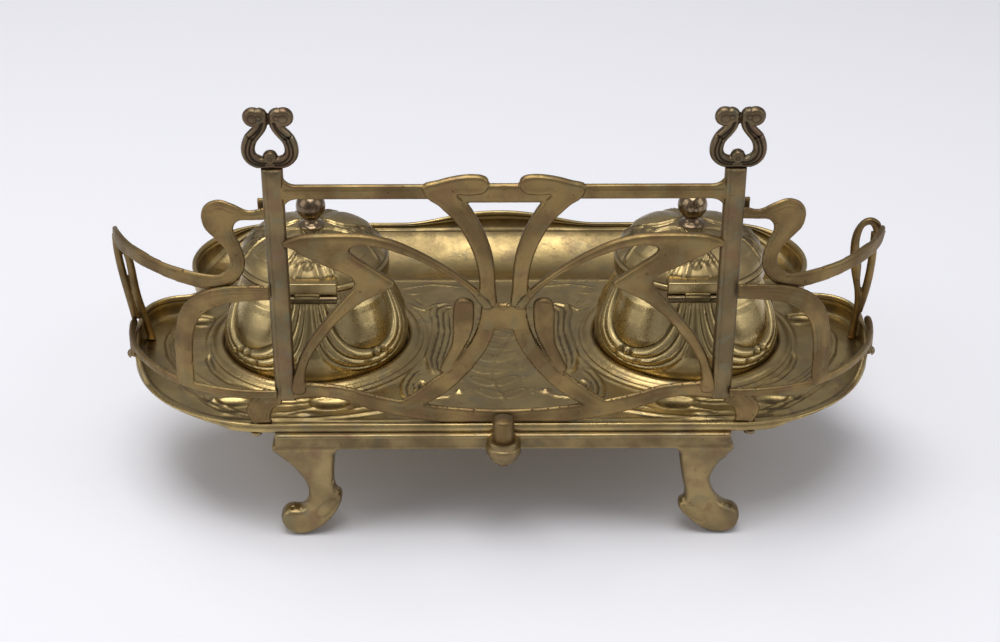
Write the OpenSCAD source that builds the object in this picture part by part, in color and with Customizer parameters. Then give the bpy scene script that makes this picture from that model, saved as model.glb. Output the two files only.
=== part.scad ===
// Desk inkstand: a pressed brass tray on two cast foot bars, an open cast gallery along the
// rear edge, two hinged inkwells and a pen trough. Millimetres, +Z up, table at z = 0,
// gallery side towards -Y, pen trough towards +Y, wells in a row along X.

/* [Tray] */
// Width of the tray over its side walls
tray_w = 302; // [240:1:360]
// Radius of the rounded corners on the gallery side
corner_r = 59; // [50:1:65]
// Distance from the row of wells to the gallery edge
near_edge = 67; // [62:0.5:80]
// Distance from the row of wells to the far edge of the pen trough
far_edge = 88; // [80:0.5:110]
// Height of the underside of the tray above the table
stand_h = 48.5; // [30:0.5:70]
// Thickness of the tray sheet
sheet_t = 1.2; // [0.8:0.1:2]
// Height of the tray floor above the bottom of its edge
floor_rise = 3.8; // [3:0.1:8]
// Height of the side and trough walls above the floor
wall_rise = 9.2; // [5:0.1:16]
// Thickness of the tray walls
wall_t = 1.6; // [1:0.1:3]
// Radius of the pen trough
trough_r = 30; // [24:0.5:40]
// Extra height of the raised middle of the far wall
crest_rise = 6.2; // [0:0.2:9]

/* [Wells] */
// Distance of each well from the middle of the tray
well_x = 77; // [70:0.5:90]
// Radius of the foot of a well
well_foot_r = 38; // [34:0.5:44]
// Height of a well from the tray floor to the lid
well_h = 37.7; // [30:0.5:50]
// Radius of the neck and the lid
lid_r = 31; // [28:0.5:34]
// Height of the domed lid
dome_h = 16; // [10:0.5:24]
// Radius of the lid knob
knob_r = 6; // [4:0.5:8]
// Radius of the ink liner
liner_r = 22.5; // [16:0.5:23]
// Wall of the ink liner
liner_t = 2.5; // [1.5:0.1:4]

/* [Gallery] */
// Distance between the outer faces of the posts
gallery_w = 176; // [150:1:200]
// Width of a post
post_w = 7.2; // [5:0.1:10]
// Height of the top of the posts above the table
post_top = 161.5; // [140:0.5:190]
// Height of the middle of the top rail above the table
rail_z = 152.2; // [130:0.1:180]
// Height of the top rail section
rail_h = 5.8; // [4:0.1:10]
// Depth of the posts, front to back
post_d = 5.5; // [4:0.1:8]
// Depth of the scrollwork straps, front to back
strap_d = 3; // [2.4:0.1:5]

/* [Brackets] */
// Thickness of the side bracket straps
curtain_t = 2.4; // [1.8:0.1:4]
// Height of the band that runs round the tray corner
band_h = 3.4; // [2.6:0.1:6]

/* [Feet] */
// Height of a foot bar
bar_h = 7; // [5:0.1:10]
// Depth of a foot bar, front to back
bar_d = 10; // [8:0.1:14]
// Thickness of a scroll foot, front to back
foot_d = 9; // [6:0.1:12]

/* [Fits] */
// Radius of the hinge pins
pin_r = 0.8; // [0.6:0.05:1.2]
// Running clearance round the hinge pins
run_fit = 0.05; // [0.03:0.01:0.1]
// Gap between the ends of the hinge knuckles
knuckle_gap = 0.15; // [0.05:0.05:0.4]

/* [Hidden] */
$fn = 64;

brass = "DarkGoldenrod";
bright = "Goldenrod";
bronze = "Peru";
dark_bronze = "Sienna";
glaze = "WhiteSmoke";

steps = 10;
eps = 0.01;
big = 400;

// screws, rivets and bolts
rivet_r = 1.2;
bolt_r = 2;
head_r = 2.2;
head_h = 1.2;
nut_h = 3.6;
tenon_r = 2.4;
stud_r = 1.5;

// the round stub on the gallery and the eye of the rear foot bar that it stands in
stub_r = 4.2;
stub_fit = 0.1;
lug_r = 6.8;
stub_y = near_edge + stub_r + 0.2;
front_reach = stub_y + lug_r;

// the whole object is centred front to back between the eye and the far wall
centre_y = (front_reach - far_edge) / 2;

// heights
floor_z = stand_h + floor_rise;
under_z = floor_z - sheet_t;
near_z = floor_z + 0.2;
wall_z = floor_z + wall_rise;

// plan of the tray: two near corners, two back corners and two lobes round the trough,
// with a hollow waist between each back corner and its lobe
half_w = tray_w / 2;
near_cx = half_w - corner_r;
near_cy = near_edge - corner_r;
back_r = 17;
back_x = half_w - back_r;
back_y = 4.3;
lobe_r = 34.5;
lobe_x = half_w - 15.9 - lobe_r;
lobe_y = far_edge - lobe_r;
waist_r = 8;
waist_gap = norm([lobe_x - back_x, lobe_y - back_y]);
waist_run = (pow(back_r + waist_r, 2) - pow(lobe_r + waist_r, 2) + pow(waist_gap, 2))
            / (2 * waist_gap);
waist_out = sqrt(pow(back_r + waist_r, 2) - pow(waist_run, 2));
waist_u = [lobe_x - back_x, lobe_y - back_y] / waist_gap;
waist_c = [back_x, back_y] + waist_run * waist_u + waist_out * [waist_u[1], -waist_u[0]];

// pen trough
trough_z = stand_h + sheet_t + trough_r;
trough_near = sqrt(pow(trough_r, 2) - pow(trough_z - floor_z, 2));
trough_y = far_edge - 25.5;
trough_edge = trough_y - trough_near;

// slope of the side walls down to the gallery
slope_top = near_cy + 2;
slope_low = near_edge - 21;

// gallery
post_x = gallery_w / 2;
post_in = post_x - post_w;
post_y = near_edge - post_d;
gallery_face = near_edge - 0.2;
strap_y = gallery_face - strap_d;
post_foot = floor_z + 10.7;
finial_x = post_x - post_w / 2;
finial_y = near_edge - post_d / 2;
boot_screw_x = post_x + 8.4;
boot_screw_y = near_edge - 2;
lug_z = post_top - 17.2;

// foot bars
bar_rivet_x = 46;
bar_rivet_y = near_edge - 5;
rear_bar_y = near_edge + 2 - bar_d / 2;
front_bar_y = trough_y + 2.5;
front_rivet_x = 60;

// wells
well_top = floor_z + well_h;
collar_h = 3.7;
collar_z = well_top - collar_h;
body_h = collar_z - floor_z;
neck_r = lid_r - 3;
lid_t = 1.2;
dome_top = well_top + dome_h;
axis_y = lid_r + 2.6;
axis_z = well_top - 0.8;
barrel_r = pin_r + 0.8;
hinge_half = 11.7;
knuckle_half = 4.9;
ring_r = well_foot_r + 2.6;
roll_r = 2.2;
knob_lift = knob_r + 2;
knob_neck = 2.3;

// brackets
bracket_r = corner_r + 1.6;
handle_cx = near_cx + 2;
handle_cy = near_cy - 2;
handle_r = corner_r + 1;
band_top = floor_z + 16.2;
rim_rivet_z = wall_z - 4.2;
rim_rivet_a = 12;

function lerp(a, b, t) = a + (b - a) * t;
function bez(p, t) =
  pow(1 - t, 3) * p[0] + 3 * t * pow(1 - t, 2) * p[1]
  + 3 * t * t * (1 - t) * p[2] + pow(t, 3) * p[3];
function slope(p, t) =
  let (d = pow(1 - t, 2) * (p[1] - p[0]) + 2 * t * (1 - t) * (p[2] - p[1])
       + t * t * (p[3] - p[2]))
  d / norm(d);
function side(p, w, t, s) =
  let (d = slope(p, t),
       h = t < 0.5 ? lerp(w[0], w[1], 2 * t) : lerp(w[1], w[2], 2 * t - 1))
  bez(p, t) + s * h * [-d[1], d[0]];
function knot(k, i) = k[(i + len(k)) % len(k)];
function blend(a, b, c, d, t) =
  0.5 * (2 * b + (c - a) * t + (2 * a - 5 * b + 4 * c - d) * t * t
         + (3 * b - a - 3 * c + d) * t * t * t);

// outlines of the gallery, the brackets and the feet stretch with the sizes they hang between
function in_gallery(k) = [
  for (p = k) [p[0] * post_in / 80.8, near_z + (p[1] - 52.5) * (rail_z - near_z) / 99.7]
];
function up_bracket(z) = wall_z + (z - 61.5) * (post_top - wall_z) / 100;
function in_bracket(k) = [
  for (p = k) [post_x + (p[0] - 88) * (half_w - post_x) / 63, up_bracket(p[1])]
];
function in_side(k) = [
  for (p = k) [-near_cy + (p[0] + 8) * corner_r / 59, up_bracket(p[1])]
];
function in_foot(k) = [for (p = k) [post_x + p[0] - 88, p[1] * stand_h / 48.5]];

// a flat strap along a curve of four control points, with half widths at its start,
// middle and end
module strap(p, w) {
  polygon([
    for (i = [0 : steps]) side(p, w, i / steps, 1),
    for (i = [steps : -1 : 0]) side(p, w, i / steps, -1)
  ]);
}

// a smooth closed outline through the given points
module smooth(k, n = 3) {
  polygon([
    for (i = [0 : len(k) - 1]) for (j = [0 : n - 1])
      blend(knot(k, i - 1), knot(k, i), knot(k, i + 1), knot(k, i + 2), j / n)
  ]);
}

module box(x0, x1, y0, y1, z0, z1) {
  translate([x0, y0, z0]) cube([x1 - x0, y1 - y0, z1 - z0]);
}

module square_at(x0, x1, y0, y1) {
  translate([x0, y0]) square([x1 - x0, y1 - y0]);
}

// a round pin or hole from one height to another
module pin(x, y, z0, z1, r) {
  translate([x, y, z0]) cylinder(h = z1 - z0, r = r, $fn = 32);
}

// stand an outline drawn in x and z upright between two depths
module upright(y0, y1) {
  translate([0, y1, 0]) rotate([90, 0, 0]) linear_extrude(y1 - y0) children();
}

// stand an outline drawn in y and z upright between two x positions
module sideways(x0, x1) {
  translate([x0, 0, 0]) rotate([90, 0, 90]) linear_extrude(x1 - x0) children();
}

module both() {
  children();
  mirror([1, 0, 0]) children();
}

module framed() {
  translate([0, centre_y, 0]) children();
}

module at_well(s) {
  framed() translate([s * well_x, 0, 0]) children();
}

// outline of the tray drawn in by d all round
module plan(d) {
  polygon([[-back_x, back_y], [back_x, back_y], [lobe_x, lobe_y], [-lobe_x, lobe_y]]);
  square_at(-near_cx, near_cx, -near_edge + d, back_y);
  square_at(-half_w + d, half_w - d, -near_cy, back_y);
  square_at(-lobe_x, lobe_x, lobe_y, far_edge - d);
  both() {
    translate([near_cx, -near_cy]) circle(corner_r - d, $fn = 128);
    translate([back_x, back_y]) circle(back_r - d);
    translate([lobe_x, lobe_y]) circle(lobe_r - d, $fn = 96);
    difference() {
      polygon([[back_x, back_y], [lobe_x, lobe_y], waist_c]);
      translate(waist_c) circle(waist_r + d);
    }
  }
}

module wall_profile() {
  difference() {
    plan(0);
    plan(wall_t);
  }
}

// space above the walls, seen from the side: they are low along the gallery and rise
// past the corners
module above_walls() {
  polygon([
    [-big, near_z], [-slope_low, near_z], [-slope_low + 8, near_z + 0.8],
    [-slope_top - 8, wall_z - 0.8], [-slope_top, wall_z],
    [lobe_y + lobe_r / 2, wall_z], [lobe_y + lobe_r / 2, big], [-big, big]
  ]);
}

// space below the walls, seen from the side: only the lip along the gallery reaches
// down to the foot bar
module below_walls() {
  polygon([
    [-near_edge + 1.6, -big], [-near_edge + 1.6, stand_h + 0.6], [-near_edge + 3.4, stand_h + 1.7],
    [-near_edge + 8, under_z - 0.2], [-near_edge + 12, under_z], [big, under_z], [big, -big]
  ]);
}

// space above the waved top of the far wall
module above_crest() {
  half_wave = 44;
  polygon(concat(
    [[-big, big], [-big, wall_z]],
    [for (i = [-steps : steps]) let (c = pow(cos(i / steps * 90), 2)) [
      i / steps * half_wave,
      wall_z + crest_rise * c * (4 - c) / 3
    ]],
    [[big, wall_z], [big, big]]
  ));
}

module walls() {
  difference() {
    translate([0, 0, stand_h]) linear_extrude(wall_z + crest_rise - stand_h) wall_profile();
    sideways(-big, big) above_walls();
    sideways(-big, big) below_walls();
    upright(0, big) above_crest();
  }
}

module trough_round(r) {
  translate([-big / 2, trough_y, trough_z]) rotate([0, 90, 0]) cylinder(h = big, r = r, $fn = 128);
}

// rounded bed for the pens, open towards the floor and closed by the lobes at its ends
module trough() {
  intersection() {
    difference() {
      trough_round(trough_r + sheet_t);
      trough_round(trough_r);
    }
    translate([0, 0, stand_h]) linear_extrude(trough_z - trough_r / 2 - stand_h) intersection() {
      plan(wall_t / 2);
      square_at(-big, big, trough_edge - 0.4, far_edge);
    }
  }
}

// round moulding that each well stands in
module well_ring() {
  translate([0, 0, floor_z - 0.3]) difference() {
    rotate_extrude() translate([ring_r, 0]) circle(roll_r, $fn = 24);
    translate([0, 0, -roll_r - 1]) cylinder(h = roll_r + 0.8, r = ring_r + roll_r + 1);
  }
}

// raised panel in the middle of the floor
module panel() {
  translate([0, 0, floor_z - 0.2]) linear_extrude(0.9) difference() {
    square_at(-34, 34, -near_edge + 10, trough_edge - 14);
    both() translate([well_x, 0]) circle(ring_r + roll_r + 3);
  }
}

module tray() {
  color(brass) framed() difference() {
    union() {
      walls();
      trough();
      translate([0, 0, under_z]) linear_extrude(sheet_t) intersection() {
        plan(wall_t / 2);
        square_at(-big, big, -big, trough_edge);
      }
      both() translate([well_x, 0, 0]) well_ring();
      panel();
    }
    both() {
      pin(well_x, 0, stand_h, floor_z + 5, bolt_r);
      pin(bar_rivet_x, -bar_rivet_y, stand_h, floor_z + 5, rivet_r);
      pin(front_rivet_x, front_bar_y, stand_h - 1, floor_z + 5, rivet_r);
      pin(boot_screw_x, -boot_screw_y, stand_h - 1, floor_z + 5, rivet_r);
      rim_rivet_axis() cylinder(h = 20, r = rivet_r, center = true, $fn = 32);
    }
  }
}

// right half of the gallery outline, in x and z
module gallery_half() {
  square_at(post_in, post_x, post_foot, post_top);
  square_at(-eps, post_in + 1, rail_z - rail_h / 2, rail_z + rail_h / 2);
  fillet(post_in, rail_z + rail_h / 2, 5, 1);
  fillet(post_in, rail_z - rail_h / 2, 5, -1);
  hook();
  knot_block();
  legs();
  blade();
  swag();
  boot();
}

module fillet(x, z, r, s) {
  translate([x, z]) flip(s) difference() {
    translate([-r, -0.5]) square([r + 0.5, r + 0.5]);
    translate([-r, r]) circle(r);
  }
}

module flip(s) {
  if (s < 0) mirror([0, 1]) children();
  else children();
}

// hook strap that grips the top rail and sweeps down to the middle
module hook() {
  smooth(in_gallery([
    [29.6, 154.9], [24.3, 156.7], [19.4, 158.1], [14, 159], [9.5, 159], [7, 158.3], [5.8, 157],
    [5.6, 154.6], [8, 152], [13, 151.4], [17, 151.6], [15.6, 149.6], [13.4, 147.5], [11.2, 144.1],
    [9.3, 140.3], [7.3, 136.3], [5.9, 132.4], [4.6, 127.9], [3.8, 123.7], [3.3, 118.9],
    [3.1, 113.5], [3.1, 105], [9.1, 105], [9.2, 114], [9.7, 119.5], [10.9, 125], [12.4, 129.4],
    [14.3, 133.6], [16.4, 137.6], [18.7, 141], [21.3, 143.7], [24.3, 146.8], [27.8, 149.4]
  ]), 2);
}

// block where the straps cross in the middle
module knot_block() {
  polygon(in_gallery([[-eps, 94.4], [5, 93.6], [6, 106.5], [3.6, 108], [2.2, 105.6], [-eps, 105.4]]));
}

// the two legs that spread from the knot to the lower rail, one inside the other
module legs() {
  strap(in_gallery([[5.6, 108], [4.6, 98], [7.6, 88], [15, 79]]), [3, 3.4, 3.5]);
  strap(in_gallery([[14.2, 79.9], [21.6, 70.8], [32, 62.4], [50, 54]]), [3.6, 3.9, 2.6]);
  strap(in_gallery([[14.6, 106.6], [15.8, 98], [13.6, 90], [20, 80]]), [3, 3.6, 2.2]);
}

// long arm from the post over to the knot, with the barbed blade that hangs from it and
// runs back to the foot of the post
module blade() {
  smooth(in_gallery([
    [81.6, 132.3], [77, 134.1], [72.5, 134.9], [65, 135.3], [58, 135.3], [52, 135], [47, 134.1],
    [42, 132.7], [38, 131.1], [33.7, 128.9], [29, 126.3], [24.5, 123.4], [20, 120.3],
    [15, 116.4], [10.4, 112.4], [5.5, 107.2], [4.4, 104], [8, 104], [11.7, 109.2], [15.5, 113.2],
    [20, 117.1], [24.5, 119.9], [28, 121.9], [33.5, 124.8], [37.5, 126.4], [42.5, 128.3],
    [45.4, 129.1], [49, 129.9], [53, 130.2], [56.4, 129.4], [56.9, 127.6], [54.5, 125.2],
    [51, 122.7], [47.2, 119.9], [43.6, 117.2], [40.9, 115.2], [40.9, 113.2], [43.4, 111.6],
    [48, 109.2], [53, 106.3], [57, 103.2], [60.5, 100], [64, 96.2], [66.7, 92.4], [70, 88],
    [72.8, 83.6], [74.8, 79.2], [75.9, 74], [76.4, 67], [81.6, 67], [81.2, 72], [79.6, 77],
    [77.8, 82.3], [75.5, 87.2], [73, 91.6], [70, 95.6], [67, 99.4], [64, 103.4], [61, 107],
    [58.2, 110.2], [56.2, 113], [56.6, 116.4], [59.8, 118.6], [63.3, 120.2], [67, 122],
    [71, 124.2], [75, 126.4], [78.5, 128.9], [81.6, 130]
  ]), 2);
}

// lower rail that dips to the middle of the tray edge
module swag() {
  strap(in_gallery([[81.8, 67], [73, 67.6], [66, 67.5], [57.5, 64.6]]), [3.7, 3, 3]);
  strap(in_gallery([[58.4, 64.9], [45, 59.6], [25, 55.2], [-eps, 55.1]]), [3.1, 3.1, 2.6]);
}

// spreading foot of a post, arched between its two toes
module boot() {
  difference() {
    translate([post_x, floor_z]) smooth([
      [-2.6, 16.5], [-2, 12], [3, 15.6], [8, 12.7], [11.2, 7.7], [11.4, 4.3], [9.9, 1.3], [10, -1.3],
      [2, -1.3], [2.4, 2.7], [1, 7], [-2.4, 9.4]
    ]);
    translate([post_x + 6.4, floor_z - 0.3]) circle(2.3);
  }
}

module gallery() {
  stub_top = post_foot - 5;
  color(bronze) framed() difference() {
    union() {
      intersection() {
        both() upright(-gallery_face, -strap_y) gallery_half();
        box(-big, big, -big, big, near_z, big);
      }
      both() box(post_in, post_x, -near_edge, -post_y, post_foot, post_top);
      pin(0, -stub_y, stand_h - 2, stub_top, stub_r);
      pin(0, -stub_y, stand_h - bar_h - nut_h - 0.9, stand_h, tenon_r);
      box(-3.4, 3.4, -near_edge - 3, -near_edge + 2, near_z, stub_top - 0.6);
    }
    both() {
      pin(finial_x, -finial_y, post_top - 7, post_top + 1, rivet_r);
      pin(boot_screw_x, -boot_screw_y, near_z - 1, near_z + 4, rivet_r);
      screw_axis() cylinder(h = 5, r = rivet_r, $fn = 32);
    }
  }
}

// nut under the eye of the rear foot bar
module gallery_nut() {
  nut_z = stand_h - bar_h - nut_h;
  color(bronze) framed() difference() {
    pin(0, -stub_y, nut_z, nut_z + nut_h, 5.4);
    pin(0, -stub_y, nut_z - 1, nut_z + nut_h + 1, tenon_r);
  }
}

// screws from under the tray into the boots of the gallery
module boot_screws() {
  color(bronze) framed() both() {
    pin(boot_screw_x, -boot_screw_y, stand_h - head_h, stand_h, head_r);
    pin(boot_screw_x, -boot_screw_y, stand_h - eps, near_z + 4, rivet_r);
  }
}

// half of the lyre on top of a post, round its own middle line
module lyre_half() {
  z = post_top;
  strap([[0.4, z + 2.1], [8, z + 1.3], [9.8, z + 6.5], [6.6, z + 12.5]], [2.2, 2.3, 2.1]);
  strap([[6.8, z + 12.1], [4.6, z + 15.6], [1.9, z + 17], [2.2, z + 20.5]], [2, 1.7, 1.7]);
  translate([5.1, z + 20]) circle(3.7);
  translate([0, z + 3.5]) circle(2.2);
  square_at(-eps, 3.1, z, z + 3);
}

module finial(s) {
  lyre_d = 4.6;
  color(dark_bronze) framed() translate([s * finial_x, -finial_y, 0]) {
    upright(-lyre_d / 2, lyre_d / 2) intersection() {
      both() lyre_half();
      square_at(-big, big, post_top, big);
    }
    pin(0, 0, post_top - 7, post_top + 1, rivet_r);
  }
}

module finial_left() {
  finial(-1);
}

module finial_right() {
  finial(1);
}

// upright shell that the bracket straps follow: straight along the gallery and round
// past the tray corner
module curtain(cx, cy, r) {
  difference() {
    union() {
      translate([cx, -cy, 0]) cylinder(h = big, r = r, $fn = 128);
      box(0, cx, -cy - r, -cy, 0, big);
    }
    translate([cx, -cy, -1]) cylinder(h = big + 2, r = r - curtain_t, $fn = 128);
    box(-1, cx, -cy - r + curtain_t, -cy + 1, -1, big + 1);
  }
}

module scroll_strap() {
  smooth(in_bracket([
    [87, 145.4], [93.5, 144.4], [99, 146.9], [104.4, 148.4], [109.3, 146.2], [111.4, 141.6],
    [110.4, 136.2], [106.6, 132.2], [103, 128], [101.8, 123.3], [103.4, 119.4], [107, 117],
    [112, 116.6], [117.5, 116.8], [123, 117], [128, 117.2], [133, 117.6], [138, 117.8],
    [147, 117.4], [147, 111.6], [139, 112.1], [133, 111.8], [128, 111.4], [123, 111],
    [117, 110.6], [111.5, 110.4], [105, 111.4], [100.4, 114.2], [96.8, 119.4], [96.2, 125],
    [97.6, 130.6], [99.7, 136.4], [97.6, 140.2], [92.5, 140.6], [87, 141.2]
  ]));
}

module arch_strap() {
  strap(in_bracket([[87.5, 111.3], [104, 111.9], [114.6, 108], [119.8, 98]]), [2.7, 2.9, 2.8]);
  strap(in_bracket([[119.6, 98.4], [123.8, 90], [124.1, 80], [124.1, 65]]), [2.8, 2.6, 2.6]);
}

module corner_band() {
  square_at(post_x - 1, half_w + 4, band_top - band_h, band_top);
}

// outer end of the handle, in y and z
module lash_left() {
  smooth(in_side([
    [-48, 117.7], [-38, 117.6], [-28, 117], [-20, 116], [-14.4, 115], [-10.6, 113.6], [-12, 111.6],
    [-16.6, 109.6], [-22, 108.4], [-28, 109.4], [-38, 111.6], [-48, 112]
  ]));
}

module lash_right() {
  smooth(in_side([
    [-48, 117.7], [-38, 117.4], [-28, 117], [-22.6, 116], [-20.6, 113.6], [-22.4, 111],
    [-28, 110.8], [-38, 111.6], [-48, 112]
  ]));
}

// slanting slab that the tines at the end of the handle lie in, in y and z
module lean() {
  t = 1.7;
  foot = -1;
  polygon(concat(
    [for (p = in_side([[-20.6, 119]])) [p[0] - t, p[1]]],
    [for (p = in_side([[-20.6, 119]])) [p[0] + t, p[1]]],
    [[foot + t, floor_z], [foot - t, floor_z]]
  ));
}

// two crossing tines under the pointed end of the left handle
module tines_left() {
  strap(in_bracket([[151.2, 113], [154.2, 98], [151.8, 80], [150.8, 64.6]]), [1.9, 1.7, 1.9]);
  strap(in_bracket([[149.4, 113], [150.4, 94], [150, 80], [147.6, 68]]), [1.8, 1.8, 1.7]);
  strap(in_bracket([[147.8, 69], [147, 64], [146.2, 58], [146, 50]]), [1.7, 1.6, 1.8]);
}

// hairpin at the end of the right handle, running down into one tine with a second
// tine beside it
module tines_right() {
  smooth(in_bracket([
    [152, 110.6], [150.6, 112.6], [149, 115.9], [146.8, 117.7], [144.4, 118], [142.3, 116.9],
    [140.7, 114.6], [139.6, 111.6], [139.1, 107.4], [139.3, 102], [140.2, 95], [141.6, 88.9],
    [142.8, 84.4], [144.2, 79], [145.2, 72], [145.4, 64], [145.2, 57], [145.2, 50],
    [148.2, 50], [148.3, 58], [148.5, 66], [148.5, 72], [147.8, 76.8], [146.6, 80.4],
    [145.7, 84.6], [145.3, 89], [144.9, 93.4], [143.6, 99], [142.5, 105], [142.5, 110],
    [143.2, 113.4], [144.5, 114.7], [145.8, 114.1], [146.9, 112], [148, 109.4]
  ]));
  strap(in_bracket([[147.8, 111], [148.8, 97], [150, 86], [147.4, 67]]), [1.5, 1.6, 1.7]);
}

// bottom of the corner band where it comes down on the side wall, in y and z
module band_end() {
  smooth([
    [-62, band_top], [-40, band_top - 0.2], [-22, band_top - 1.2], [-9, band_top - 2],
    [-4.6, band_top - 4.2], [-5, wall_z + 0.4], [-9, wall_z], [-13, wall_z], [-14, 57.5],
    [-18, 54.8], [-23, 57.4], [-25, band_top - band_h - 2.2], [-40, band_top - band_h - 0.2],
    [-62, band_top - band_h]
  ]);
}

// axis of the rivet that holds the bracket to the side wall
module rim_rivet_axis() {
  translate([near_cx, -near_cy, 0]) rotate([0, 0, -rim_rivet_a])
    translate([corner_r - wall_t / 2, 0, rim_rivet_z]) rotate([0, 90, 0]) children();
}

// axis of the screw through the bracket lug, pointing from behind into the post
module screw_axis() {
  translate([finial_x, -post_y + eps, lug_z]) rotate([90, 0, 0]) children();
}

module bracket_shape(right) {
  flare = right ? -1 : 1.5;
  difference() {
    union() {
      intersection() {
        curtain(handle_cx, handle_cy - flare, handle_r + flare);
        union() {
          upright(-big, -near_cy - corner_r / 2) intersection() {
            scroll_strap();
            square_at(post_x, near_cx + corner_r * 0.83, floor_z, post_top);
          }
          sideways(near_cx + corner_r * 0.76, half_w + 10) {
            if (right) lash_right();
            else lash_left();
          }
        }
      }
      intersection() {
        curtain(near_cx, near_cy, bracket_r);
        union() {
          upright(-big, -near_cy - corner_r * 0.46) arch_strap();
          upright(-big, -near_cy - corner_r * 0.6) corner_band();
          sideways(near_cx + corner_r / 3, half_w + 10) intersection() {
            band_end();
            square_at(-near_cy - corner_r * 0.63, 0, floor_z, band_top + 5);
          }
        }
      }
      intersection() {
        sideways(near_cx, half_w + 10) lean();
        upright(-big, big) {
          if (right) tines_right();
          else tines_left();
        }
      }
      lug();
    }
    translate([near_cx, -near_cy, stand_h]) difference() {
      cylinder(h = wall_z - stand_h, r = corner_r, $fn = 128);
      translate([0, 0, floor_z - stand_h]) cylinder(h = big, r = corner_r - wall_t, $fn = 128);
    }
    box(half_w - wall_t, half_w, -near_cy, back_y, stand_h, wall_z);
    box(post_x - 1, post_x + 12, -gallery_face, -strap_y, 0, band_top + eps);
    rim_rivet_axis() cylinder(h = 20, r = rivet_r, center = true, $fn = 32);
    screw_axis() translate([0, 0, -6]) cylinder(h = 12, r = rivet_r, $fn = 32);
    box(-big, post_x, -big, -post_y, 0, big);
  }
}

// lug that laps behind the post
module lug() {
  box(post_in + 0.4, post_x + 2.6, -post_y, -post_y + 2, lug_z - 3.2, lug_z + 3);
  box(post_x, post_x + 2.6, -handle_cy - handle_r + curtain_t - 1, -post_y + 2,
      lug_z - 3.2, lug_z - 0.6);
}

module bracket_left() {
  color(bronze) framed() mirror([1, 0, 0]) bracket_shape(false);
}

module bracket_right() {
  color(bronze) framed() bracket_shape(true);
}

module bracket_rivets() {
  out = bracket_r - corner_r + wall_t / 2;
  color(dark_bronze) framed() both() rim_rivet_axis() {
    translate([0, 0, -wall_t / 2 - 0.7])
      cylinder(h = out + wall_t / 2 + 0.7, r = rivet_r, $fn = 32);
    translate([0, 0, out]) intersection() {
      translate([0, 0, -0.6]) sphere(r = 2);
      cylinder(h = 4, r = 4);
    }
    translate([0, 0, -wall_t / 2 - 0.75]) cylinder(h = 0.7, r = 2);
  }
}

module bracket_screws() {
  color(dark_bronze) framed() both() screw_axis() {
    translate([0, 0, -2 - head_h]) cylinder(h = head_h, r = head_r);
    translate([0, 0, -2 - eps]) cylinder(h = 7, r = rivet_r, $fn = 32);
  }
}

// outlines of the scroll feet in x and z: the left one stands more upright, the right one
// puts its toe further out
module foot_left() {
  smooth(in_foot([
    [88.8, 44], [88.4, 38], [84.4, 34.2], [81, 29.8], [78.4, 25.3], [77.3, 20.9], [77.8, 15.7],
    [80.4, 12.3], [84.3, 12.3], [87.2, 11.2], [88.7, 8.4], [88.5, 5.2], [86.7, 2.2], [83.4, 0.2],
    [79.3, 0.1], [75.6, 1.5], [71.8, 4.1], [68.6, 7.4], [66.2, 11.1], [64.6, 14.9], [64.1, 18.4],
    [66.2, 20.6], [67, 24.5], [66.8, 30.4], [66.2, 38], [66.2, 44]
  ]), 3);
}

module foot_right() {
  smooth(in_foot([
    [88.8, 44], [88.6, 37.4], [85.5, 34], [83.1, 29.6], [82, 24.9], [83.3, 20], [86, 15.5],
    [89.2, 13], [92.6, 11.8], [94.4, 9.7], [94.8, 6.5], [93.9, 3.4], [92, 1.2], [88.8, 0.1],
    [85.3, 0.1], [81.2, 1.4], [76.7, 4.3], [73.5, 7.6], [71.4, 9.8], [70.2, 12], [70.3, 14.2],
    [72, 15.6], [72.5, 18], [72, 21.6], [70.9, 26.8], [70.1, 31.9], [69.3, 38], [69.3, 44]
  ]), 3);
}

module foot_bar(y) {
  translate([0, y, 0]) {
    upright(-bar_d / 2, bar_d / 2) both() square_at(-eps, post_x + 1, stand_h - bar_h, stand_h);
    upright(-foot_d / 2, foot_d / 2) intersection() {
      union() {
        foot_right();
        mirror([1, 0, 0]) foot_left();
      }
      square_at(-big, big, 0, stand_h - 1);
    }
  }
}

module rear_foot_bar() {
  color(brass) framed() difference() {
    union() {
      foot_bar(-rear_bar_y);
      both() pin(bar_rivet_x, -bar_rivet_y, stand_h - 1, under_z, 3);
      pin(0, -stub_y, stand_h - bar_h, stand_h - 2, lug_r);
    }
    pin(0, -stub_y, stand_h - 2, stand_h + 8, stub_r + stub_fit);
    pin(0, -stub_y, -1, stand_h, tenon_r);
    both() {
      pin(bar_rivet_x, -bar_rivet_y, -1, stand_h + 10, rivet_r);
      pin(boot_screw_x, -boot_screw_y, stand_h - head_h, stand_h + 1, head_r + stub_fit);
    }
  }
}

module front_foot_bar() {
  color(brass) framed() difference() {
    foot_bar(front_bar_y);
    both() pin(front_rivet_x, front_bar_y, -1, stand_h + 10, rivet_r);
  }
}

module bar_rivet(x, y, top) {
  pin(x, y, stand_h - bar_h - 1, top, rivet_r);
  pin(x, y, stand_h - bar_h - 1, stand_h - bar_h, 2.4);
}

module bar_rivets() {
  color(bronze) framed() both() {
    bar_rivet(bar_rivet_x, -bar_rivet_y, floor_z);
    bar_rivet(front_rivet_x, front_bar_y, stand_h + sheet_t);
  }
}

// heights up the side of a well, as a share of its body
function up_well(k) = [for (p = k) [p[0], p[1] * body_h / 34]];

// outside of the bell from the foot up to the neck
bell_side = [for (p = [
  [0, 5], [0.04, 8], [0.12, 11.5], [0.28, 15.5], [0.52, 20.5], [0.78, 25.5], [0.95, 29.5], [1, 32.5]
]) [lerp(well_foot_r, neck_r, p[0]), p[1]]];

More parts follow.
